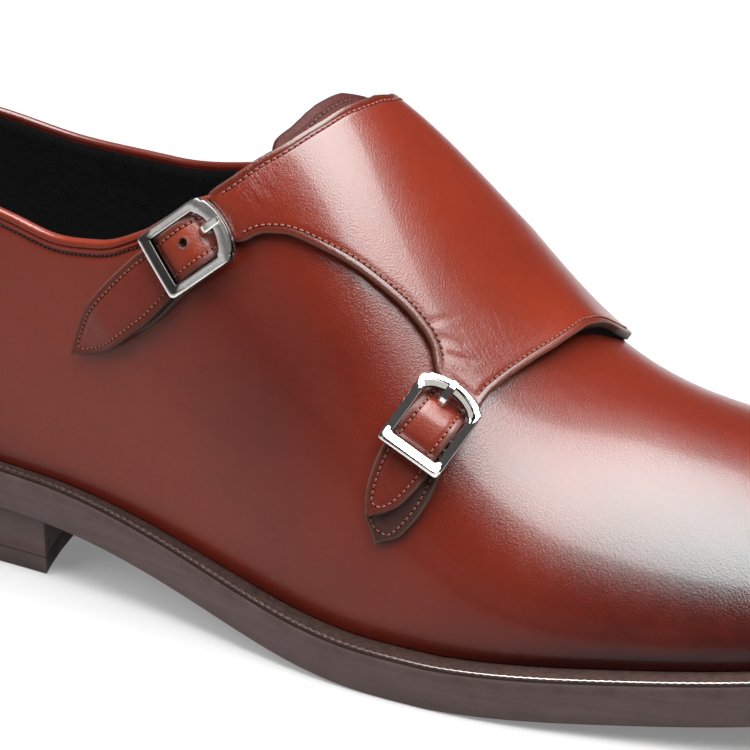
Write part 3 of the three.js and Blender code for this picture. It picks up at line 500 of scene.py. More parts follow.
class Finish:
    """A procedural material: a Principled shader and the nodes that feed it."""

    def __init__(self, name, **sockets):
        self.material = bpy.data.materials.new(name)
        self.material.use_nodes = True
        self.tree = self.material.node_tree
        self.shader = self.tree.nodes["Principled BSDF"]
        for key, value in sockets.items():
            self.shader.inputs[SOCKETS[key]].default_value = value
        self.place = self.node("TexCoord").outputs["Object"]

    def node(self, kind, inputs=(), **settings):
        made = self.tree.nodes.new("ShaderNode" + kind)
        for key, value in settings.items():
            setattr(made, key, value)
        for key, value in dict(inputs).items():
            self.feed(made.inputs[key], value)
        return made

    def feed(self, socket, value):
        if isinstance(value, bpy.types.NodeSocket):
            self.tree.links.new(value, socket)
        else:
            socket.default_value = value

    def noise(self, size, detail=2.0, rough=0.5, place=None):
        inputs = {"Vector": place or self.place, "Scale": 1 / (size * MM), "Detail": detail,
                  "Roughness": rough}
        return self.node("TexNoise", inputs).outputs["Fac"]

    def cells(self, size, feature="F1", place=None):
        inputs = {"Vector": place or self.place, "Scale": 1 / (size * MM)}
        return self.node("TexVoronoi", inputs, feature=feature).outputs["Distance"]

    def stretched(self, scale, turn=(0, 0, 0)):
        inputs = {"Vector": self.place, "Scale": scale, "Rotation": turn}
        return self.node("Mapping", inputs).outputs["Vector"]

    def math(self, operation, a, b=0.0, clamp=False):
        made = self.node("Math", {0: a, 1: b}, operation=operation, use_clamp=clamp)
        return made.outputs[0]

    def plus(self, a, b, clamp=False):
        return self.math("ADD", a, b, clamp)

    def times(self, a, b):
        return self.math("MULTIPLY", a, b)

    def swing(self, noise, share):
        """A noise turned into a change of up to half a share either way."""
        return self.times(self.math("SUBTRACT", noise, 0.5), share)

    def layer(self, name):
        return self.node("Attribute", attribute_name=name).outputs["Fac"]

    def spread(self, value, low, high, to_low=0.0, to_high=1.0):
        inputs = {"Value": value, "From Min": low, "From Max": high, "To Min": to_low, "To Max": to_high}
        return self.node("MapRange", inputs, interpolation_type="SMOOTHSTEP").outputs["Result"]

    def ramp(self, factor, stops):
        made = self.node("ValToRGB", {"Fac": factor})
        for number, (place, color) in enumerate(stops):
            stop = made.color_ramp.elements[number] if number < 2 else made.color_ramp.elements.new(place)
            stop.position = place
            stop.color = (*color, 1)
        return made.outputs["Color"]

    def mix(self, factor, a, b, blend="MIX"):
        made = self.node("Mix", data_type="RGBA", blend_type=blend)
        for number, value in ((0, factor), (6, a), (7, b)):
            self.feed(made.inputs[number], (*value, 1) if isinstance(value, tuple) else value)
        return made.outputs[2]

    def bump(self, height, distance, strength=1.0, below=None):
        inputs = {"Height": height, "Distance": distance * MM, "Strength": strength}
        if below:
            inputs["Normal"] = below
        return self.node("Bump", inputs).outputs["Normal"]

    def wear(self, color=None, roughness=None, normal=None):
        for key, value in (("Base Color", color), ("Roughness", roughness), ("Normal", normal)):
            if value is not None:
                self.feed(self.shader.inputs[key], (*value, 1) if isinstance(value, tuple) else value)
        return self.material


SOCKETS = {"metallic": "Metallic", "roughness": "Roughness", "specular": "Specular IOR Level",
           "coat": "Coat Weight", "coat_roughness": "Coat Roughness", "sheen": "Sheen Weight",
           "tint": "Specular Tint", "emission": "Emission Strength", "emission_color": "Emission Color"}


POLISH_TINT = (0.6, 1.0, 1.0, 1.0)     # the wax's gloss is cooler than the calf
LINING_BLACK = (0.003, 0.0025, 0.0025)


def leather(name, deep, mid, bright, raw, roughness=0.23, coat=0.12, coat_roughness=0.13, grain=1.0,
            mottle=0.3, burnish=0.55, dull_edge=0.0, specular=0.17):
    """Polished calf: clouded dye, a fine pebble, burnished edges and raw cut faces."""
    made = Finish(name, coat=coat, coat_roughness=coat_roughness, specular=specular, tint=POLISH_TINT)
    clouds = made.swing(made.noise(26, 3), mottle)
    flecks = made.swing(made.noise(2.4, 3), mottle * 0.45)
    tone = made.plus(made.plus(made.layer("tone"), clouds), flecks)
    color = made.ramp(tone, [(0.0, deep), (0.5, mid), (1.0, bright)])
    near = made.layer("edge")
    color = made.mix(made.spread(near, 0.0, 2.2, burnish, 0.0), color, deep)
    color = made.mix(made.spread(near, 0.25, 0.7, 0.35, 0.0), color, raw)
    color = made.mix(made.layer("raw"), color, made.ramp(made.noise(0.5, 3), [(0.2, deep), (0.75, raw)]))
    color = made.mix(made.layer("dark"), color, LINING_BLACK)
    worn = made.plus(made.layer("raw"), made.spread(near, 0.2, 1.3, dull_edge, 0.0))
    rough = made.plus(made.swing(made.noise(3.0, 4), 0.12), roughness)
    rough = made.plus(rough, made.times(worn, 0.35), True)
    return made.wear(color, rough, leather_grain(made, near, grain))


def leather_grain(made, near, grain):
    """The pebble everywhere, and fine crinkles that run in from an edge where the crinkle layer asks."""
    pebble = made.times(made.cells(0.35, "SMOOTH_F1"), 0.8)
    normal = made.bump(made.plus(pebble, made.times(made.noise(0.18, 2), 0.5)), 0.062 * grain)
    along, inward = made.times(made.layer("fold"), MM), made.times(near, 0.12 * MM)
    folds = made.node("CombineXYZ", {"X": along, "Y": inward}).outputs["Vector"]
    crinkle = made.times(made.layer("crinkle"), made.noise(0.5, 3, 0.65, folds))
    return made.bump(crinkle, 0.35, below=normal)


def thread(name, color, shine=0.55):
    """Waxed thread: two plies wound round each other."""
    made = Finish(name, roughness=shine, specular=0.12)
    fibre = made.noise(0.16, 2)
    dark = tuple(c * 0.45 for c in color)
    return made.wear(made.ramp(fibre, [(0.3, dark), (0.65, color)]), None, made.bump(fibre, 0.05))


def cloth_lining():
    """The black woven lining."""
    made = Finish("lining_cloth", roughness=0.9, specular=0.1)
    weave = made.times(made.cells(0.55), made.noise(0.3, 2))
    color = made.ramp(made.noise(1.6, 4), [(0.3, (0.0006, 0.0006, 0.0007)), (0.8, (0.0025, 0.0025, 0.003))])
    return made.wear(color, None, made.bump(weave, 0.12))


def sock_leather():
    """The black leather sock on the insole."""
    made = Finish("sock_leather", roughness=0.7, specular=0.06)
    color = made.ramp(made.noise(6, 4), [(0.3, (0.0012, 0.0012, 0.0012)), (0.8, (0.005, 0.0047, 0.0045))])
    return made.wear(color, None, made.bump(made.cells(0.9, "SMOOTH_F1"), 0.08))


def sole_edge(name, deep, pale, roughness=0.42):
    """Stained and waxed leather edge: faint layers along it and small rub marks."""
    made = Finish(name, specular=0.16)
    layers = made.noise(1.0, 3, 0.6, made.stretched((0.03, 0.03, 1.0)))
    rubs = made.noise(7, 5, 0.65)
    shade = made.plus(made.times(layers, 0.4), made.times(rubs, 0.6))
    # the dark layer mixes in stain at the joints and painted shade on the heel's breast
    color = made.mix(made.layer("dark"), made.ramp(shade, [(0.32, deep), (0.68, pale)]), SOLE_STAIN_AND_SHADE)
    rough = made.spread(rubs, 0.2, 0.8, roughness - 0.07, roughness + 0.1)
    height = made.plus(made.times(layers, 0.6), made.times(made.noise(0.5, 3), 0.5))
    return made.wear(color, rough, made.bump(height, 0.06))


def welt_finish():
    """Dark waxed welt with the sole's colour on its side, painted shade in its grooves and a painted
    highlight line along its bead.
    """
    made = Finish("welt_waxed", specular=0.12)
    top = made.ramp(made.noise(1.3, 4), [(0.3, (0.006, 0.0022, 0.0015)), (0.7, (0.017, 0.0065, 0.0042))])
    side = made.ramp(made.noise(7, 5, 0.65), [(0.3, SOLE_DEEP), (0.7, SOLE_PALE)])
    color = made.mix(made.layer("side"), top, side)
    # painted shade: the grooves go near black
    color = made.mix(made.layer("groove"), color, (0.004, 0.0022, 0.002))
    # painted highlight: a near-white glint line along the bead
    color = made.mix(made.layer("line"), color, (0.72, 0.69, 0.66))
    rough = made.spread(made.layer("side"), 0.0, 1.0, 0.85, 0.42)
    return made.wear(color, rough, made.bump(made.noise(0.45, 3), 0.1))


def steel(name, roughness, brushed):
    """Nickel-like steel with fine lines, its colour painted near black where a layer asks, as a painted
    dark reflection.
    """
    made = Finish(name, metallic=1.0)
    lines = made.noise(0.1, 1, 0.5, made.stretched((0.03, 1.0, 1.0), (0.2, 0.5, 0.6)))
    tarnish = made.noise(2.2, 4)
    color = made.ramp(tarnish, [(0.25, (0.66, 0.64, 0.61)), (0.7, (0.74, 0.725, 0.70))])
    # painted dark reflection: near-black base colour where the layer asks
    color = made.mix(made.layer("dull"), color, (0.006, 0.0058, 0.005))
    rough = made.spread(lines, 0.25, 0.75, roughness * 0.85, roughness * 1.15)
    return made.wear(color, rough, made.bump(lines, 0.004 * brushed))


def floor_finish():
    """A white studio floor: it glows a little so that it reads as white round the shoe."""
    made = Finish("studio_floor", roughness=0.8, specular=0.0, emission=0.22, emission_color=(1, 1, 1, 1))
    return made.wear((0.19, 0.19, 0.19))


SOLE_DEEP = (0.036, 0.0235, 0.0215)
SOLE_PALE = (0.055, 0.0375, 0.035)
# stain for the joints, and painted shade for the heel's breast
SOLE_STAIN_AND_SHADE = (0.02, 0.0058, 0.004)
CALF = dict(deep=(0.016, 0.0024, 0.0018), mid=(0.066, 0.0072, 0.0032), bright=(0.125, 0.0155, 0.0046),
            raw=(0.07, 0.038, 0.024))
calf = leather("calf", **CALF)
strap_calf = leather("strap_calf", **CALF, burnish=0.75, dull_edge=1.0, roughness=0.34, coat=0.03)
tongue_calf = leather("tongue_calf", (0.010, 0.002, 0.0016), (0.028, 0.0048, 0.0038), (0.05, 0.0105, 0.008),
                      (0.04, 0.025, 0.02), roughness=0.42, coat=0.0, grain=3.0, specular=0.05)
tab_calf = leather("tab_calf", (0.009, 0.003, 0.0022), (0.026, 0.007, 0.005), (0.055, 0.018, 0.01),
                   (0.08, 0.04, 0.024), roughness=0.5, coat=0.1)
lining = cloth_lining()
sock = sock_leather()
sole_side = sole_edge("sole_edge", SOLE_DEEP, SOLE_PALE)
welt_leather = welt_finish()
sole_top_piece = sole_edge("top_piece", (0.024, 0.017, 0.015), (0.042, 0.030, 0.027), 0.5)
brushed_steel = steel("steel_brushed", 0.22, 1.0)
# painted shade: the middle bar under the strap is given dark, dull steel
dull_steel = Finish("steel_dull", metallic=1.0, roughness=0.6).wear((0.10, 0.09, 0.08))
polished_steel = steel("steel_polished", 0.045, 0.1)
seam_thread = thread("thread_brown", (0.105, 0.03, 0.019))
tan_thread = thread("thread_tan", (0.115, 0.038, 0.021))
dark_thread = thread("thread_dark", (0.03, 0.013, 0.01))
welt_thread = thread("thread_welt", (0.045, 0.025, 0.018), 0.5)
# painted shade: small dark bodies at the needle holes stand for their shade
needle_hole_shade = Finish("needle_hole_shade", roughness=1.0, specular=0.0).wear((0.011, 0.003, 0.002))

# ------------------------------------------------------------------------------- stitches

THREADS = {name: Shape() for name in ("brown", "tan", "dark", "welt", "holes")}
# (place along the stitch, size, lift) of the rings that make one.
STITCH_RINGS = [(-0.5, 0.3, -0.30), (-0.32, 0.85, 0.02), (0, 1.0, 0.14), (0.32, 0.85, 0.02),
                (0.5, 0.3, -0.30)]
STITCH_SIDES = 6


def beads(shape, centres, along, normals, length, width, height):
    """A small rounded body at each centre, sunk at its ends like a stitch."""
    across = unit(np.cross(normals, along))
    turns = np.arange(STITCH_SIDES) * 2 * math.pi / STITCH_SIDES
    place, size, lift = np.array(STITCH_RINGS).T[..., None]
    wide = size * np.cos(turns) * width / 2
    tall = size * np.sin(turns) * height / 2 + lift * height

    def offset(way, amount):
        return way[:, None, None] * amount[None, ..., None]

    bodies = (centres[:, None, None] + offset(along, place * length) + offset(across, wide)
              + offset(normals, tall))
    numbers = shape.add(bodies).reshape(len(centres), len(STITCH_RINGS), STITCH_SIDES)
    turned = np.roll(numbers, -1, 2)
    side = np.stack([numbers[:, :-1], numbers[:, 1:], turned[:, 1:], turned[:, :-1]], -1)
    shape.faces.append(side.reshape(-1, 4))
    for end in (numbers[:, 0], numbers[:, -1, ::-1]):
        shape.faces.append(end[:, [0, 1, 2, 3]])
        shape.faces.append(end[:, [0, 3, 4, 5]])


def stitch(line, normals, kind="brown", pitch=STITCH_PITCH, width=0.5, slant=0.0, holes=True):
    """A row of stitches along a line on a surface."""
    points, normal = walk(line, pitch, normals)
    normal = unit(normal)
    middles = (points[1:] + points[:-1]) / 2
    along = unit(points[1:] - points[:-1])
    up = unit(normal[1:] + normal[:-1])
    if slant:
        along = unit(along + np.cross(up, along) * slant)
    beads(THREADS[kind], middles, along, up, pitch * 0.86, width, width * 0.8)
    if holes:
        # painted shade at each needle hole
        ends = points[1:-1]
        beads(THREADS["holes"], ends, along[1:], unit(normal[1:-1]), pitch * 0.36, width * 1.25, 0.14)


def inset_line(line, normals, distance):
    """A line moved sideways over its surface, to the left of its direction for a plus distance."""
    along = unit(np.gradient(line, axis=0))
    return line + unit(np.cross(normals, along)) * distance


# ------------------------------------------------------------------------------- colour and creases

# Where the tone is deeper or brighter, partly the calf's own dye, patina and toe burnish and partly painted
# light and shade, such as the quarter painted brighter towards the heel: (x, y, z), radius, change of tone.
DYE_AND_PAINTED_LIGHT = [
    ((-12, -42, 60), 26, -0.30),
    ((-60, -32, 52), 40, 0.16),
    ((-90, -30, 40), 40, 0.06),
    ((0, -50, 30), 45, 0.10),
    ((55, -48, 24), 30, -0.16),
    ((70, -36, 22), 26, -0.10),
    ((105, -30, 22), 42, -0.42),
    ((8, -8, 90), 22, 0.10),
    ((28, -6, 68), 18, 0.06),
    ((-140, 0, 50), 30, -0.10),
    ((-45, -24, 90), 16, 0.06),
]


def tone_at(points):
    # the tone patches hold painted light and shade as well as dye
    tone = np.full(points.shape[:-1], 0.5)
    for centre, radius, change in DYE_AND_PAINTED_LIGHT:
        far = np.linalg.norm(points - np.array(centre), axis=-1)
        tone = tone + change * hill(far, radius)
    return tone


def crease(points, start, end, width, depth):
    """A soft trough with low ridges beside it, between two points of the surface."""
    start, end = np.array(start, float), np.array(end, float)
    along = end - start
    t = ((points - start) @ along) / (along @ along)
    middle = start + along * np.clip(t, 0, 1)[..., None]
    far = np.linalg.norm(points - middle, axis=-1) / width
    fade = smooth(-0.15, 0.2, t) * smooth(-0.15, 0.2, 1 - t)
    return fade * depth * (0.35 * np.exp(-((far - 1.7) ** 2) * 1.5) - np.exp(-(far**2)))


# Soft flex creases of the quarter: (x, z) of start and end, width, depth.
QUARTER_CREASES = [
    ((-92, 76), (-68, 66), 1.6, 0.10),
    ((-90, 71), (-66, 62), 1.4, 0.09),
    ((-86, 67), (-62, 58), 1.3, 0.07),
    ((-50, 60), (-34, 54), 1.2, 0.06),
    ((-48, 56), (-33, 50), 1.1, 0.05),
]


def last_at(x, z):
    """The point of the last's outer side at a given x and height."""
    at, up = np.meshgrid(np.linspace(1, 9, 161), np.linspace(0.02, 0.9, 89), indexing="ij")
    points = last_point(at, up)
    near = np.hypot(points[..., 0] - x, points[..., 2] - z)
    return points[np.unravel_index(near.argmin(), near.shape)]


# ------------------------------------------------------------------------------- upper

COLLAR_BEAD = 1.9               # height of the rolled bead
BEAD_LINE = 2.6                 # the fine ridge under it
COLLAR_STITCH = 3.5
COLLAR_SEAM_END = 5.2           # station where the collar's seam runs under the flap


def upper_rows():
    """Stations round the shoe: finer on the outer side."""
    lateral = np.linspace(0, TOE, 420)
    medial = np.linspace(TOE, LOOP, 240)[1:-1]
    throat = [THROAT_STATION, LOOP - THROAT_STATION]
    return np.unique(np.round(np.concatenate([lateral, medial, throat]), 5))


def rim_of(at):
    """The part of each rib that the upper covers."""
    lateral, medial = table_curve(RIM_LATERAL), table_curve(RIM_MEDIAL)
    return np.where(at <= TOE, lateral(at), medial(LOOP - at))


def ribs(rows, gaps, count):
    """For each station, heights along its rib: gaps down from the rim, then even steps."""
    rims = rim_of(rows)
    parts = np.linspace(0, 1, 161)
    dense = last_point(rows[:, None], rims[:, None] * parts)
    heights = []
    down = np.concatenate([[0], np.cumsum(gaps)])
    for line, rim in zip(dense, rims):
        reach = lengths(line)
        even = np.linspace(0, reach[-1] - down[-1], count)
        stops = np.concatenate([even, reach[-1] - down[::-1][1:]])
        heights.append(np.interp(stops, reach, parts) * rim)
    heights = np.array(heights)
    far = np.concatenate([np.full(count, 99.0), down[::-1][1:]])
    return heights, far


def collar_relief(down):
    """The rolled bead, the fine ridge and the stitched groove below the collar's rim."""
    bead = 0.38 * np.sqrt(np.clip(1 - ((down - COLLAR_BEAD / 2) / (COLLAR_BEAD / 2)) ** 2, 0, 1))
    ridge = 0.16 * hill(down - BEAD_LINE, 0.3)
    groove = -0.28 * hill(down - COLLAR_STITCH, 0.38)
    dip = -0.22 * hill(down - COLLAR_BEAD - 0.15, 0.18)
    return bead + ridge + groove + dip


RIM_GAPS = [0.08, 0.12, 0.16, 0.2] + [0.22] * 5 + [0.2] * 8 + [0.25, 0.3, 0.4, 0.6]
ROLL = 1.0                      # how far down the rim is rolled over
FAR_FROM_EDGE = 9.0             # value of the edge layer where there is no cut edge


def make_upper():
    """Vamp and quarters: a hollow wall, with its rolled and stitched collar behind the throat."""
    shape = Shape("tone", "edge", "raw", "crinkle")
    rows = upper_rows()
    ups, down = ribs(rows, RIM_GAPS, 82)
    points = last_point(rows[:, None], ups)
    normals = last_normal(rows[:, None], ups)
    station = np.where(rows <= TOE, rows, LOOP - rows)
    collar = smooth(THROAT_STATION, THROAT_STATION - 0.5, station)[:, None]
    roll = np.clip(1 - down / ROLL, 0, 1)
    offset = collar * (collar_relief(down) - (1 - np.sqrt(1 - roll**2)) * (WALL / 2))[None, :]
    offset = np.where((station[:, None] < THROAT_STATION) & (down[None, :] == 0), -WALL / 2, offset)
    lateral = points[..., 1] < 5
    for (x0, z0), (x1, z1), width, depth in QUARTER_CREASES:
        offset += np.where(lateral, crease(points, last_at(x0, z0), last_at(x1, z1), width, depth), 0)
    tone = tone_at(points) + collar * 0.04 * hill(down, 1.6)[None, :]
    # painted shade: the upper is darker within a few millimetres of the welt, where the crease's shade
    # falls
    foot = np.linalg.norm(points - points[:, :1], axis=-1)
    tone = tone - 0.35 * hill(foot, 3.0)
    # painted shade: the collar's stitched groove is darker
    near_groove = hill(down - COLLAR_STITCH, 0.45)[None, :] * collar
    crinkle = 0.35 * hill(np.linalg.norm(points - last_at(-60, 60), axis=-1), 22)
    outer = shape.grid(raised(points, normals, offset), closed=True, tone=tone - 0.5 * near_groove,
                       edge=FAR_FROM_EDGE, crinkle=crinkle)
    inner_ups, inner_down = ribs(rows, RIM_GAPS[:6], 22)
    inner_points = last_point(rows[:, None], inner_ups)
    inner_normals = last_normal(rows[:, None], inner_ups)
    roll = np.clip(1 - inner_down / ROLL, 0, 1)
    depth = np.where(station[:, None] < THROAT_STATION,
                     -WALL / 2 - np.sqrt(1 - roll**2)[None, :] * WALL / 2, -WALL)
    # painted shade: the wall's inner face and turned rim are darker, as inside the shoe
    inner = shape.grid(raised(inner_points, inner_normals, depth), closed=True, tone=0.2,
                       edge=FAR_FROM_EDGE)
    shape.sleeve(outer, inner)
    piece("upper_skin", shape, calf, ["upper"])
    at_line = rows[station < COLLAR_SEAM_END]
    order = np.concatenate([at_line[at_line > TOE], at_line[at_line <= TOE]])
    rim = rim_of(order)
    line = last_point(order, rim)
    normal = last_normal(order, rim)
    drop = line + unit(last_point(order, rim - 0.02) - line) * COLLAR_STITCH
    stitch(drop - normal * 0.12, normal, "dark", 1.15, 0.34, slant=0.7)


LINING_GAP = 0.03
LINING_THICKNESS = 0.42
LINING_LANES = 34


def make_lining():
    """The black lining: a thin skin inside the wall, from the collar's roll down to the insole."""
    shape = Shape()
    rows = upper_rows()[::2]
    rims = rim_of(rows)
    dense = np.linspace(0, 1, 81)
    line = last_point(rows[:, None], rims[:, None] * dense)
    sheet = []
    for points, rim, at in zip(line, rims, rows):
        reach = lengths(points)
        top = reach[-1] - (1.4 if min(at, LOOP - at) < THROAT_STATION - 0.02 else 0)
        sheet.append(np.interp(np.linspace(2.5, top, LINING_LANES), reach, dense) * rim)
    ups = np.array(sheet)
    points, normals = last_point(rows[:, None], ups), last_normal(rows[:, None], ups)
    edge = np.ones(LINING_LANES)
    edge[-1] = 0.2
    depth = (WALL + LINING_GAP + LINING_THICKNESS * edge)[None, :, None]
    outer = shape.grid(points - normals * (WALL + LINING_GAP), closed=True)
    inner = shape.grid(points - normals * depth, closed=True)
    shape.sleeve(outer, inner)
    piece("lining_skin", shape, lining)


# ------------------------------------------------------------------------------- flap

FLAP_CREASES = [                # (across, station) of start and end, width, depth
    ((0.64, 4.30), (0.62, 4.52), 0.9, 0.05),
    ((0.66, 4.34), (0.66, 4.50), 0.8, 0.04),
    ((0.655, 5.50), (0.70, 5.66), 0.9, 0.06),
    ((0.64, 5.56), (0.68, 5.72), 0.8, 0.05),
    ((0.665, 5.44), (0.73, 5.56), 0.9, 0.05),
]


# (across, station), radius and strength of the flap's wrinkled corners.
FLAP_CRINKLES = [((0.66, 4.34), 6, 0.6), ((0.66, 5.66), 8, 0.6)]
FLAP_LENGTH, FLAP_SPAN = 100, 155       # about, rear to front and scallop to foot


def flap_place(part, climb):
    """(station, across) of a part of the way from rear to front, and from scallop to inner foot."""
    rear, front, edge = table_curve(FLAP_REAR), table_curve(FLAP_FRONT), table_curve(FLAP_EDGE)
    across = edge(part) + (FLAP_FOOT - edge(part)) * climb * (0.75 + 0.25 * climb)
    return rear(across) + (front(across) - rear(across)) * part, across


def make_flap():
    """The flap over the instep, with its rolled rear edge and its front edge lifted at the ridge."""
    shape = Shape("tone", "edge", "raw", "crinkle", "fold", "dark")
    part, climb = np.meshgrid(crowded(FLAP_LENGTH, 0.8), crowded(FLAP_SPAN, 0.9), indexing="ij")
    at, across = flap_place(part, climb)
    points, normals = across_point(at, across), across_normal(at, across)
    rear_line = walk(points[0], LINE_SPACING)[0]
    from_rear, along_rear = nearest(points, rear_line)
    from_front, _ = nearest(points, walk(points[-1], LINE_SPACING)[0])
    bead = 0.10 * np.sqrt(np.clip(1 - ((from_rear - 0.7) / 0.7) ** 2, 0, 1))
    bead = bead - 0.1 * hill(from_rear - 1.5, 0.25)
    relief = bead * smooth(0.0, 0.03, climb)
    for (a0, s0), (a1, s1), width, depth in FLAP_CREASES:
        relief = relief + crease(points, across_point(s0, a0), across_point(s1, a1), width, depth)
    crinkle = 0
    for (a, s), radius, strength in FLAP_CRINKLES:
        crinkle = crinkle + strength * hill(np.linalg.norm(points - across_point(s, a), axis=-1), radius)
    fold = along_rear * lengths(rear_line)[-1]
    low = FLAP_GAP + front_lift(from_front, across)
    high = low + FLAP_LEATHER + relief
    cut_leather(shape, points, normals, low, high, tone_at(points), 0.12, back_dark=0.9,
                crinkle=crinkle, fold=fold)
    piece("monk_flap_skin", shape, calf, ["monk_flap"])
    flap_gap_shade()
    flap_seams()


def flap_line(parts, climbs, height):
    """Points at a height over the last along a line of the flap, with their normals."""
    at, across = flap_place(np.asarray(parts), np.asarray(climbs))
    normals = across_normal(at, across)
    return across_point(at, across) + normals * height, normals


FRONT_LIFT = 2.7
FRONT_LIFT_FADE = 9.0


def front_lift(from_front, across):
    """How far the flap's free front edge stands off the shoe round the ridge."""
    fade = FRONT_LIFT * np.exp(-from_front / FRONT_LIFT_FADE)
    return fade * smooth(0.7, 1.03, across) * smooth(1.3, 1.03, across)


def flap_gap_shade():
    """A black sheet of painted shade that closes the gap under the flap's lifted front edge."""
    shape = Shape()
    climb = np.linspace(0.1, 0.62, 120)
    rings = []
    front = across_point(*flap_place(1.0, climb))
    for part, share in ((0.992, 0.0), (0.992, 1.0), (0.978, 1.0), (0.978, 0.0)):
        at, across = flap_place(part, climb)
        from_front = np.linalg.norm(front - across_point(at, across), axis=-1)
        height = 0.1 + share * (FLAP_GAP + front_lift(from_front, across))
        rings.append(across_point(at, across) + across_normal(at, across) * height[:, None])
    rings = np.stack(rings, 1)
    numbers = shape.grid(rings)
    shape.strip(numbers[:, -1], numbers[:, 0])
    shape.faces.append(np.stack([numbers[0], numbers[-1]]))
    piece("flap_gap_shade", shape, lining)


def flap_seams():
    """Rows of stitches round the flap: rear edge, scallop and front edge."""
    top = FLAP_GAP + FLAP_LEATHER - 0.06
    sweep = np.linspace(0, 1, 400)
    line, normals = flap_line(0 * sweep, 0.018 + 0.97 * sweep, top)
    stitch(inset_line(line, normals, -REAR_INSET), normals)
    line, normals = flap_line(1 + 0 * sweep, 0.02 + 0.96 * sweep, top)
    across = flap_place(1 + 0 * sweep, 0.02 + 0.96 * sweep)[1]
    line = line + normals * front_lift(STITCH_INSET, across)[:, None]
    stitch(inset_line(line, normals, STITCH_INSET), normals)
    line, normals = flap_line(0.185 + 0.65 * sweep, 0 * sweep, top)
    stitch(inset_line(line, normals, STITCH_INSET), normals)


# ------------------------------------------------------------------------------- tongue


TONGUE_LENGTH, TONGUE_WIDTH = 58, 64    # about
TONGUE_SIDE, TONGUE_SPAN = 0.64, 0.72   # where it starts on the outer side, and how far it goes across
TONGUE_STITCH = 3.2


def tongue_dome(part, across):
    """How far the tongue's padded top edge bulges."""
    return TONGUE_DOME * smooth(0.4, 0.0, part) * smooth(0.6, 0.75, across) * smooth(1.32, 1.12, across)


def make_tongue():
    """The tongue: a padded tab inside the throat, with one seam along its top edge."""
    shape = Shape("tone", "edge", "raw", "crinkle")
    lanes = TONGUE_SIDE + TONGUE_SPAN * crowded(TONGUE_WIDTH, 0.9)
    part, across = np.meshgrid(crowded(TONGUE_LENGTH, 1.2), lanes, indexing="ij")
    rear = table_curve(TONGUE_REAR)(across)
    at = rear + (TONGUE_FRONT_STATION - rear) * part
    points, normals = across_point(at, across), across_normal(at, across)
    near, _ = nearest(points, outline_of(points))
    from_rear, _ = nearest(points, walk(points[0], LINE_SPACING)[0])
    dome = tongue_dome(part, across)
    high = -TONGUE_DEPTH - rounding(near, 1.0) + dome - seam_dip(from_rear, TONGUE_STITCH, 0.35, 0.6)
    low = -TONGUE_DEPTH - TONGUE_LEATHER + dome
    face = shape.grid(raised(points, normals, high), tone=0.5, edge=near + 1.0)
    back = shape.grid(raised(points, normals, low), tone=0.4, edge=FAR_FROM_EDGE)
    shape.plate(face, back)
    piece("tongue_skin", shape, tongue_calf, ["tongue"])
    sweep = np.linspace(0.7, 1.3, 200)
    rear = table_curve(TONGUE_REAR)(sweep)
    inset = TONGUE_STITCH / TONGUE_LENGTH
    at = rear + (TONGUE_FRONT_STATION - rear) * inset
    normals = across_normal(at, sweep)
    height = tongue_dome(inset, sweep) - TONGUE_DEPTH - 0.25
    stitch(across_point(at, sweep) + normals * height[:, None], normals, "dark")


# ------------------------------------------------------------------------------- straps and buckles


NEWTON_STEPS = 12               # enough for Seat.drop to settle


class Seat:
    """A flat working plane that touches the last where a buckle stands: s along the strap, t across."""

    def __init__(self, buckle):
        self.buckle = buckle
        self.origin = last_point(buckle["at"], buckle["up"])
        self.out = last_normal(buckle["at"], buckle["up"])
        toward = np.array(buckle["toward"])
        self.along = unit(toward - self.out * (toward @ self.out))
        self.side = np.cross(self.out, self.along)

    def place(self, s, t, height):
        s, t, height = np.broadcast_arrays(s, t, height)
        return (self.origin + self.along * s[..., None] + self.side * t[..., None]
                + self.out * height[..., None])

    def drop(self, s, t):
        """The last's point and normal straight under points of the working plane."""
        s, t = np.broadcast_arrays(np.asarray(s, float), np.asarray(t, float))
        at, up = np.full(s.shape, self.buckle["at"]), np.full(s.shape, self.buckle["up"])

        def miss(at, up):
            away = last_point(at, up) - self.origin
            return away @ self.along - s, away @ self.side - t

        for _ in range(NEWTON_STEPS):
            here, by_at, by_up = miss(at, up), miss(at + SMALL, up), miss(at, up + SMALL)
            at_s, at_t = ((by_at[n] - here[n]) / SMALL for n in (0, 1))
            up_s, up_t = ((by_up[n] - here[n]) / SMALL for n in (0, 1))
            area = at_s * up_t - at_t * up_s
            at = at - (here[0] * up_t - here[1] * up_s) / area
            up = up - (at_s * here[1] - at_t * here[0]) / area
        return last_point(at, up), last_normal(at, up)


STRAP_WIDTH = 11                # about, to space the lanes of its grid


def strap_grid(outline, step, width_step):
    """A grid over an outline, in the working plane: how far along the strap and across it."""
    left, right = table_curve(outline, 1), table_curve(outline, 2)
    first, last = outline[0][0], outline[-1][0]
    parts = crowded(last - first, step)
    lanes = crowded(STRAP_WIDTH, width_step)
    s, lane = np.meshgrid(first + (last - first) * parts, lanes, indexing="ij")
    return s, left(s) + (right(s) - left(s)) * lane


PRONG_HOLE = (-6.2, 0.9)        # (along the strap, radius)
SPARE_HOLE = (-0.4, 0.85)       # only the upper strap's shows


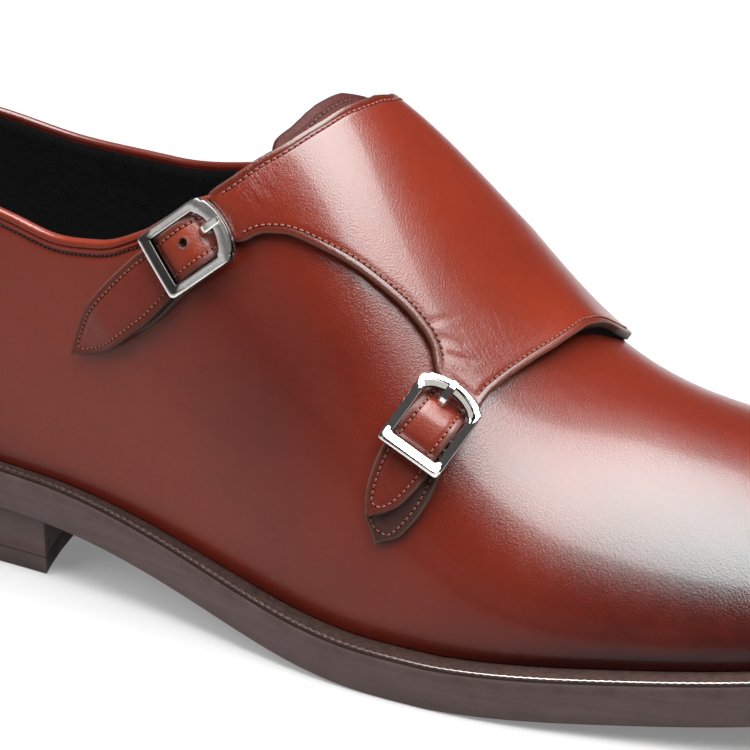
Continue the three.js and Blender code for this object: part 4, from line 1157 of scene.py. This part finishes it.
def make_strap(buckle):
    """A strap humped through its buckle, with pressed rings round its holes."""
    seat = Seat(buckle)
    name = buckle["name"]
    shape = Shape("tone", "edge", "raw", "crinkle")
    s, t = strap_grid(buckle["strap"], 0.27, 0.25)
    points, normals = seat.drop(s, t)
    rise = table_curve(buckle["rise"])(s)
    shift = BUCKLE["prong_shift"]
    relief = -0.10 * (t / 5) ** 2 * smooth(6, -2, s)
    holes, rings = np.zeros(s.shape), np.zeros(s.shape)
    for hole_s, radius in [PRONG_HOLE, SPARE_HOLE] if name == "upper" else [PRONG_HOLE]:
        far = np.hypot(s - hole_s, t - shift)
        holes = np.maximum(holes, smooth(radius + 0.12, radius - 0.2, far))
        rings = np.maximum(rings, hill(far - radius - 0.28, 0.28))
    relief = relief + 0.10 * rings - 1.35 * holes
    # painted shade darkens the holes; painted light brightens the strap's hump inside the buckle
    tone = tone_at(points) - 0.10 - 1.2 * holes + 0.25 * smooth(8, 2, np.abs(s + 1.5)) * (1 - holes)
    near, _ = nearest(points, outline_of(points))
    top = rise + STRAP_LEATHER - rounding(near) - seam_dip(near, depth=0.16) + relief
    crinkle = 0.5 * smooth(6, 10, s)
    raw = np.maximum((near < AT_EDGE) * 0.6, 0.75 * rings * (1 - holes))
    face = shape.grid(raised(points, normals, top), edge=near, tone=tone, raw=raw, crinkle=crinkle)
    back = shape.grid(raised(points, normals, rise), edge=0.0, tone=0.3, raw=1.0)
    shape.plate(face, back)
    piece(f"strap_{name}_skin", shape, strap_calf, [f"strap_{name}"])
    strap_seam(seat, buckle["strap"], table_curve(buckle["rise"]), STRAP_LEATHER - 0.12, -8.0)


def strap_seam(seat, outline, rise, thickness, start, pitch=1.35):
    """One row of stitches down the left edge, round the tip and back up the right edge."""
    last = outline[-1][0]
    left, right = table_curve(outline, 1), table_curve(outline, 2)
    reach = np.linspace(start, last - 2.4, 160)
    gap = STITCH_INSET - 0.15
    down, up = left(reach) + gap, right(reach) - gap
    keep = up - down > 0.5
    s = np.concatenate([reach[keep], reach[keep][::-1]])
    t = np.concatenate([down[keep], up[keep][::-1]])
    points, normals = seat.drop(s, t)
    stitch(points + normals * (rise(s) + thickness)[:, None], normals, "tan", pitch, 0.46)


def make_tab(buckle):
    """The pointed base piece under a strap, which holds the buckle."""
    seat = Seat(buckle)
    name = buckle["name"]
    shape = Shape("tone", "edge", "raw", "crinkle")
    s, t = strap_grid(buckle["tab"], 0.5, 0.5)
    points, normals = seat.drop(s, t)
    cut_leather(shape, points, normals, FLAP_GAP - 0.45, FLAP_GAP + TAB_LEATHER, 0.45, 0.16)
    piece(f"buckle_tab_{name}_skin", shape, tab_calf, [f"buckle_tab_{name}"])
    strap_seam(seat, buckle["tab"], lambda s: 0 * s + FLAP_GAP, TAB_LEATHER - 0.1, 3.0)


def frame_loop(inset, corner_steps=7):
    """A closed loop of the frame: straight at the strap's tip, bowed towards the flap."""
    half_length = BUCKLE["length"] / 2
    half_width = BUCKLE["width"] / 2 - inset * BUCKLE["side"] / BUCKLE["bar"]
    radius = max(BUCKLE["corner"] - inset * 0.3, 0.4)
    loop = []

    def corner(s, t, start):
        for turn in np.linspace(start, start + math.pi / 2, corner_steps):
            loop.append((s + radius * math.cos(turn), t + radius * math.sin(turn)))

    def straight(a, b, count):
        for part in np.linspace(0, 1, count + 2)[1:-1]:
            loop.append((a[0] + (b[0] - a[0]) * part, a[1] + (b[1] - a[1]) * part))

    front, rear, side = half_length - inset - radius, -half_length + inset + radius, half_width - radius
    corner(front, side, 0)
    straight((front, side + radius), (rear, side + radius), 10)
    corner(rear, side, math.pi / 2)
    for part in np.linspace(0.1, 0.9, 17):
        t = half_width * (1 - 2 * part)
        loop.append((-half_length + inset - BUCKLE["bow"] * (1 - (t / half_width) ** 2), t))
    corner(rear, -side, math.pi)
    straight((rear, -side - radius), (front, -side - radius), 10)
    corner(front, -side, math.pi * 1.5)
    straight((front + radius, -side), (front + radius, side), 8)
    return np.array(loop)


FRAME_LIFT = 3.25               # underside of the bow's middle over the working plane
FRAME_RISE = 0.95               # how much higher the sides lie than the bow
FRAME_CROWN = 0.004             # how the frame falls towards its sides
TIP_TILT = 0.3                  # how the straight bar rises over the strap's tip
BOW_FROM, BOW_TO, TIP_FROM = -10.5, -5.6, 5.6


def frame_height(s, t):
    """The height of the frame's underside over the working plane."""
    tip_tilt = TIP_TILT * np.maximum(0, s - TIP_FROM)
    return FRAME_LIFT + FRAME_RISE * smooth(BOW_FROM, BOW_TO, s) - FRAME_CROWN * t * t + tip_tilt


# The frame's section: (part of the way in from the outer edge, height), then how far the bow's
# groove and inner band and the straight bar's outer bevel lie below its flat top.
FRAME_SECTION = [(0.0, 0.35), (0.0, 1.4), (0.03, 1.55), (0.08, 1.67), (0.12, 1.7), (0.3, 1.7),
                 (0.34, 1.7), (0.42, 1.7), (0.48, 1.7), (0.92, 1.7), (0.96, 1.66), (0.99, 1.58),
                 (1.0, 1.45), (1.0, 0.3), (0.9, 0.0), (0.12, 0.0)]
BOW_STEP = [(0.0, 0), (0.3, 0), (0.34, 0.02), (0.42, 0.3), (0.48, 0.2), (1.0, 0.2)]
BAR_BEVEL = [(0.0, 0.5), (0.3, 0.06), (0.34, 0.0), (1.0, 0)]


def frame_step(name, part, s):
    """How far the lower buckle's bow and both straight bars lie below the flat top."""
    bow = smooth(-5.7, -6.5, s) * table_curve(BOW_STEP)(part)
    bar = smooth(6.6, 7.2, s + 1.2 * part) * table_curve(BAR_BEVEL)(part)
    return bar + (bow if name == "lower" else 0)


def frame_painted_dark(name, part, s):
    """Where the steel is painted darker, as a painted dark reflection: the lower bow's inner band, the
    upper straight bar and its edges.
    """
    if name == "lower":
        return 0.985 * smooth(-5.3, -5.9, s) * smooth(0.4, 0.45, part)
    straight = smooth(5.0, 5.7, s) * (0.8 * smooth(0.2, 0.3, part) + 0.195 * smooth(0.9, 0.94, part))
    return np.maximum(straight, 0.97 * smooth(-6.0, -6.8, s) * smooth(0.12, 0.08, part))


BAR_REACH = 6.4                 # half the thin middle bar's length
BAR_RADIUS = 0.55
BAR_HEIGHT = 2.4
BAR_SIDES = 12


def make_buckle(buckle, finish):
    """A buckle's frame, the thin bar across its middle, and its prong."""
    seat = Seat(buckle)
    name = buckle["name"]
    shape = Shape("dull")
    section, dull = [], []
    for part, height in FRAME_SECTION:
        loop = frame_loop(part * BUCKLE["bar"])
        s, t = loop[:, 0], loop[:, 1]
        step = frame_step(name, part, s) * (height > 1.2)
        section.append(seat.place(s, t, frame_height(s, t) + height - step))
        # painted dark reflection on the frame's faces
        dull.append(frame_painted_dark(name, part, s) * (height > 1.3 or part > 0.95))
    rings = np.stack(section + section[:1], 1)
    shape.grid(rings, closed=True, dull=np.stack(dull + dull[:1], 1))
    piece(f"buckle_frame_{name}_skin", shape, finish, [f"buckle_frame_{name}"], crisp=32)
    make_bar(seat, name)
    make_prong(seat, name, finish)


def close_end(shape, ring):
    """Fills a ring of point numbers with a ladder of faces from its first and last points."""
    for low in range(len(ring) // 2 - 1):
        high = len(ring) - 1 - low
        shape.faces.append(ring[[low, low + 1, high - 1, high]][None])


def make_bar(seat, name):
    shape = Shape()
    turns = np.linspace(0, 2 * math.pi, BAR_SIDES + 1)[:-1]
    lane, turn = np.meshgrid(np.linspace(-BAR_REACH, BAR_REACH, 9), turns, indexing="ij")
    height = BAR_HEIGHT + BAR_RADIUS * np.sin(turn)
    numbers = shape.grid(seat.place(BAR_RADIUS * np.cos(turn), lane, height))
    shape.strip(numbers[:, -1], numbers[:, 0])
    close_end(shape, numbers[0])
    close_end(shape, numbers[-1])
    piece(f"buckle_bar_{name}", shape, dull_steel)


# The prong's path as (along the strap, height), and its section as (across, height) in parts of
# its width and thickness.
PRONG_PATH = [(-10.2, 5.7), (-8.2, 5.8), (-6.2, 5.65), (-4.6, 4.3), (-2.9, 2.9), (-1.1, 2.9)]
PRONG_SECTION = [(-0.5, 0.15), (-0.5, 0.7), (-0.32, 1.0), (0.32, 1.0), (0.5, 0.7), (0.5, 0.15),
                 (0.35, 0.0), (-0.35, 0.0)]


def make_prong(seat, name, finish):
    """The prong from the middle bar through the strap's hole and over the bow."""
    shape = Shape("dull")
    along = np.linspace(PRONG_PATH[-1][0], PRONG_PATH[0][0], 28)
    middle = table_curve(PRONG_PATH)(along)
    taper = 1 - 0.12 * smooth(-6, -10, along)
    ends = np.ones(len(along))
    ends[0] = ends[-1] = 0.82
    rings = []
    for across, height in PRONG_SECTION + PRONG_SECTION[:1]:
        lifted = middle - 0.5 + (0.5 + (height - 0.5) * ends) * BUCKLE["prong_thickness"]
        side = BUCKLE["prong_shift"] + across * ends * taper * BUCKLE["prong_width"]
        rings.append(seat.place(along, side, lifted))
    numbers = shape.grid(np.stack(rings, 1))
    close_end(shape, numbers[0, :-1])
    close_end(shape, numbers[-1, :-1])
    piece(f"buckle_prong_{name}_skin", shape, finish, [f"buckle_prong_{name}"], crisp=32)


# ------------------------------------------------------------------------------- sole


def half_rows(count):
    """Stations from the heel to the toe along the outer side."""
    return np.linspace(0, TOE, count)


def round_rows(count):
    """Stations round the whole sole: out along the outer side and back along the inner side."""
    return np.concatenate([half_rows(count), LOOP - half_rows(count)[1:-1][::-1]])


def sole_plan(at, inset, part):
    """Lines across the sole at stations of its outer side: inset is a function of the station."""
    x0, y0, _, _ = edge_point(at, inset(at))
    x1, y1, _, _ = edge_point(LOOP - at, inset(LOOP - at))
    return x0[:, None] + (x1 - x0)[:, None] * part, y0[:, None] + (y1 - y0)[:, None] * part


def evenly(inset):
    return lambda at: np.full(at.shape, float(inset))


def cap(shape, inset, height, count, lanes, **layers):
    """A face across the whole sole at a height over its underside."""
    x, y = sole_plan(half_rows(count), inset, np.linspace(0, 1, lanes + 1))
    shape.grid(np.stack([x, y, sole_height(x) + height], -1), **layers)


def ring_points(at, inset, height):
    """Points round the sole at an inset and a height over its underside."""
    x, y, _, _ = edge_point(at, inset)
    return np.stack([x, y, sole_height(x) + height], -1)


# (inset, height) of the outsole's edge from its underside to its top.
OUTSOLE_PROFILE = [(1.2, 0.0), (0.7, 0.02), (0.32, 0.14), (0.1, 0.36), (0.0, 0.75), (0.0, 3.0),
                   (0.0, 5.2), (0.0, 7.0), (0.0, OUTSOLE_THICKNESS), (0.5, OUTSOLE_THICKNESS),
                   (1.2, OUTSOLE_THICKNESS)]
OUTSOLE_ROWS = 420


def make_outsole():
    shape = Shape("dark")
    at = round_rows(OUTSOLE_ROWS)
    rings = np.stack([ring_points(at, inset, height) for inset, height in OUTSOLE_PROFILE], 1)
    shape.grid(rings, closed=True)
    (low_inset, low), (high_inset, high) = OUTSOLE_PROFILE[0], OUTSOLE_PROFILE[-1]
    cap(shape, evenly(low_inset), low, OUTSOLE_ROWS, 20, dark=0.15)
    cap(shape, evenly(high_inset), high, OUTSOLE_ROWS, 6)
    piece("outsole_skin", shape, sole_side, ["outsole"], crisp=60)


# the groove column is how much painted shade darkens the welt's grooves
WELT_PROFILE = [                # inset, or None for under the upper, height, then side and groove
    (None, 7.33, 0, 0), (None, 10.2, 0, 0), (4.2, 10.2, 0, 0), (3.0, 10.2, 0, 0), (2.1, 10.16, 0, 0),
    (1.55, 9.9, 0, 0.6), (1.3, 9.86, 0, 1), (1.1, 10.05, 0, 0.4), (0.92, 10.3, 0, 0),
    (0.68, 10.42, 0, 0), (0.42, 10.36, 0, 0), (0.22, 10.12, 0, 0), (0.14, 9.86, 0, 0.8),
    (0.10, 9.66, 0.6, 1), (0.0, 9.5, 1, 0), (0.0, 8.6, 1, 0), (0.0, 7.7, 1, 0), (0.0, 7.31, 1, 0),
    (0.3, 7.31, 1, 0)]
WHEEL_PITCH = 1.7
WELT_REACH = 0.4                # how far it runs under the upper's wall
WELT_SEAM = (1.32, 9.98)        # inset and height


def make_welt():
    """The welt's ring: a wheeled top with a groove painted dark as shade, a painted glint along its bead, a
    stained side, and its seam.
    """
    shape = Shape("side", "groove", "line")
    dense = np.linspace(0, LOOP, 1761)[:-1]
    x, y, _, _ = edge_point(dense, 0)
    arc = lengths(np.stack([x, y], 1))
    wave = 0.5 + 0.5 * np.cos(2 * math.pi * arc / WHEEL_PITCH)
    under = welt_width(dense) + WALL + WELT_REACH
    # painted highlight: a glint along the bead's top, faint and wheel-marked at the waist, near white at
    # the forefoot
    glint = (0.02 + 0.1 * wave**3) * smooth(-90, -50, x) + 0.75 * smooth(8, 55, x)
    rings, side, groove, line = [], [], [], []
    for inset, height, on_side, in_groove in WELT_PROFILE + WELT_PROFILE[:1]:
        reach = under if inset is None else np.minimum(inset, under - 0.1)
        press = 0.10 * wave if inset is not None and 0.2 < inset < 1.0 and height > 10 else 0
        rings.append(ring_points(dense, reach, height - press))
        side.append(np.full(len(dense), float(on_side)))
        groove.append(np.full(len(dense), float(in_groove)))
        line.append(glint * (height > 10.4))
    shape.grid(np.stack(rings, 1), closed=True, side=np.stack(side, 1), groove=np.stack(groove, 1),
               line=np.stack(line, 1))
    piece("welt_skin", shape, welt_leather, ["welt"], crisp=45)
    line = ring_points(np.linspace(0, LOOP, 1400), *WELT_SEAM)
    stitch(line, np.tile([0.0, 0.0, 1.0], (len(line), 1)), "welt", 1.9, 0.5, holes=False)


INSOLE_GAP = 0.62               # from the upper's wall
# (inset from the insole's side, height) from its underside to its top.
INSOLE_PROFILE = [(0, 7.6), (0, INSOLE_TOP - 0.5), (0.15, INSOLE_TOP - 0.15), (0.6, INSOLE_TOP)]
INSOLE_ROWS = 260


def make_insole():
    shape = Shape()

    def inside(inset):
        return lambda at: welt_width(at) + WALL + INSOLE_GAP + inset

    at = round_rows(INSOLE_ROWS)
    rings = [ring_points(at, inside(inset)(at), height) for inset, height in INSOLE_PROFILE]
    shape.grid(np.stack(rings, 1), closed=True)
    for (inset, height), lanes in ((INSOLE_PROFILE[0], 4), (INSOLE_PROFILE[-1], 24)):
        cap(shape, inside(inset), height, INSOLE_ROWS, lanes)
    piece("insole_skin", shape, sock, ["insole"])


def heel_grid(rows, lanes, inset):
    """Plan of the heel inside an inset from its own edge, with its hollow breast."""
    near_breast, past_breast = column("x")[3:5]
    corner = 3 + (HEEL_BREAST_X - inset - near_breast) / (past_breast - near_breast)
    part = np.linspace(0, 1, lanes)
    x, y = sole_plan(np.linspace(0, corner, rows), evenly(HEEL_TAPER + inset), part)
    backward = ((np.arange(rows) / (rows - 1)) ** 2)[:, None]
    return x - HEEL_BREAST_SETBACK * 4 * part * (1 - part) * backward, y


def heel_layer(name, profile, finish, node):
    """A layer of the heel: profile gives (inset, height at a plan x, darkening) from its lower face up."""
    shape = Shape("dark")
    rows, lanes = 90, 25
    lines = []
    for number, (inset, height, dark) in enumerate(profile):
        x, y = heel_grid(rows, lanes, inset)
        plan = np.stack([x, y, height(x)], -1)
        rim = np.concatenate([plan[:, 0], plan[-1, 1:-1], plan[::-1, -1][:-1]])
        # painted shade: the breast, under the waist, is fully dark
        shade = np.concatenate([np.full(rows, dark), np.full(lanes - 2, 1.0), np.full(rows - 1, dark)])
        lines.append((rim, shade))
        if number in (0, len(profile) - 1):
            shape.grid(plan, dark=0.3)
    rims = np.stack([rim for rim, _ in lines], 1)
    shape.grid(rims, closed=True, dark=np.stack([shade for _, shade in lines], 1))
    piece(name, shape, finish, [node], crisp=50)


HEEL_GAPS = (0.02, 0.06)        # under and over the stack
# (inset, part of the stack's height, darkening) from the top piece up to the outsole, with two joints
# between lifts, and (inset, height, darkening) of the top piece from the floor up.
STACK_PROFILE = [
    (0.3, 0.0, 0.3), (0.03, 0.015, 0.2), (0.0, 0.05, 0.24), (0.0, 0.1, 0.32), (0.0, 0.24, 0.26),
    (0.0, 0.27, 0.0), (0.0, 0.33, 0.0), (0.03, 0.36, 0.12), (0.0, 0.39, 0.0), (0.0, 0.65, 0.0),
    (0.03, 0.68, 0.12), (0.0, 0.71, 0.0), (0.0, 0.96, 0.0), (0.1, 0.99, 0.3), (0.4, 1.0, 0.3)]
TOP_PIECE_PROFILE = [
    (0.7, 0.0, 0.2), (0.25, 0.08, 0.1), (0.0, 0.4, 0.0), (0.0, 2.4, 0.0), (0.0, 3.95, 0.0),
    (0.05, 4.15, 0.2), (0.3, TOP_PIECE_THICKNESS, 0.3)]


def make_heel():
    """The stack, which fills the wedge under the sole, and the flat top piece below it."""
    def between(share):
        low = TOP_PIECE_THICKNESS + HEEL_GAPS[0]
        return lambda x: low + (sole_height(np.minimum(x, HEEL_BREAST_X)) - HEEL_GAPS[1] - low) * share

    stack = [(inset, between(share), darkening) for inset, share, darkening in STACK_PROFILE]
    heel_layer("heel_stack_skin", stack, sole_side, "heel_stack")
    top = [(inset, evenly(height), darkening) for inset, height, darkening in TOP_PIECE_PROFILE]
    heel_layer("heel_top_piece_skin", top, sole_top_piece, "heel_top_piece")


# ------------------------------------------------------------------------------- studio

# Sizes in this section are in metres and watts.
FLOOR_REACH = 6.0
SKY_STRENGTH = 0.09
OVERHEAD_TURN = -30             # degrees that the overhead strips are turned about the vertical
# Name, place, target, width, height and power. The two overhead lights share one place: one is seen
# in reflections only and the other by diffuse light only.
LIGHTS = [
    ("overhead_gloss", (0.313, -0.059, 1.0), (0.313, -0.059, 0), 1.5, 0.85, 128),
    ("overhead_soft", (0.313, -0.059, 1.02), (0.313, -0.059, 0), 1.5, 0.9, 80),
    ("fill_left", (-1.25, -0.95, 1.1), (-0.05, 0, 0.05), 1.7, 1.5, 60),
    ("card_left", (-0.5, -1.5, 0.45), (-0.03, -0.04, 0.09), 1.0, 0.5, 1.0),
]
SEEN_IN_GLOSS = ("overhead_gloss", "card_left")


def make_studio():
    """The pale floor, a faint even sky and the lights."""
    floor = bpy.data.meshes.new("floor")
    corners = [(x * FLOOR_REACH, y * FLOOR_REACH, 0) for x, y in ((-1, -1), (1, -1), (1, 1), (-1, 1))]
    floor.from_pydata(corners, [], [(0, 1, 2, 3)])
    floor.materials.append(floor_finish())
    plane = bpy.data.objects.new("floor", floor)
    bpy.context.scene.collection.objects.link(plane)
    world = bpy.data.worlds.new("studio")
    bpy.context.scene.world = world
    world.use_nodes = True
    sky = world.node_tree.nodes["Background"]
    sky.inputs["Color"].default_value = (1.0, 1.0, 1.0, 1)
    sky.inputs["Strength"].default_value = SKY_STRENGTH
    for name, place, target, width, height, power in LIGHTS:
        light = bpy.data.lights.new(name, "AREA")
        light.shape = "RECTANGLE"
        light.size, light.size_y, light.energy = width, height, power
        lamp = bpy.data.objects.new(name, light)
        lamp.location = place
        lamp.rotation_euler = (Vector(target) - Vector(place)).to_track_quat("-Z", "Y").to_euler()
        if name.startswith("overhead"):
            lamp.rotation_euler = (0, 0, math.radians(OVERHEAD_TURN))
        lamp.visible_glossy = name in SEEN_IN_GLOSS
        lamp.visible_diffuse = name != "overhead_gloss"
        bpy.context.scene.collection.objects.link(lamp)
    bpy.context.scene.view_settings.view_transform = "Standard"


def make_camera():
    """The camera at the photograph's angle, rolled a little about its own axis."""
    azimuth, elevation, roll = (math.radians(v) for v in (CAMERA_AZIMUTH, CAMERA_ELEVATION, CAMERA_ROLL))
    back = Vector((math.sin(azimuth) * math.cos(elevation), -math.cos(azimuth) * math.cos(elevation),
                   math.sin(elevation)))
    right = Vector((math.cos(azimuth), math.sin(azimuth), 0))
    up = back.cross(right)
    turned_right = right * math.cos(roll) + up * math.sin(roll)
    turned_up = up * math.cos(roll) - right * math.sin(roll)
    data = bpy.data.cameras.new("camera")
    data.lens, data.sensor_width = CAMERA_LENS, CAMERA_SENSOR
    data.clip_start, data.clip_end = 0.05, 20
    camera = bpy.data.objects.new("camera", data)
    place = (Vector(CAMERA_TARGET) + back * CAMERA_DISTANCE) * MM
    turn = Matrix((turned_right, turned_up, back)).transposed().to_4x4()
    camera.matrix_world = Matrix.Translation(place) @ turn
    bpy.context.scene.collection.objects.link(camera)
    bpy.context.scene.camera = camera


make_camera()
make_studio()
make_outsole()
make_welt()
make_heel()
make_insole()
make_upper()
make_lining()
make_tongue()
make_flap()
for each, metal in ((UPPER_BUCKLE, brushed_steel), (LOWER_BUCKLE, polished_steel)):
    make_tab(each)
    make_strap(each)
    make_buckle(each, metal)
piece("stitches", THREADS["brown"], seam_thread, weld=False)
piece("stitches_tan", THREADS["tan"], tan_thread, weld=False)
piece("stitches_dark", THREADS["dark"], dark_thread, weld=False)
piece("stitches_welt", THREADS["welt"], welt_thread, weld=False)
piece("needle_holes", THREADS["holes"], needle_hole_shade, weld=False)
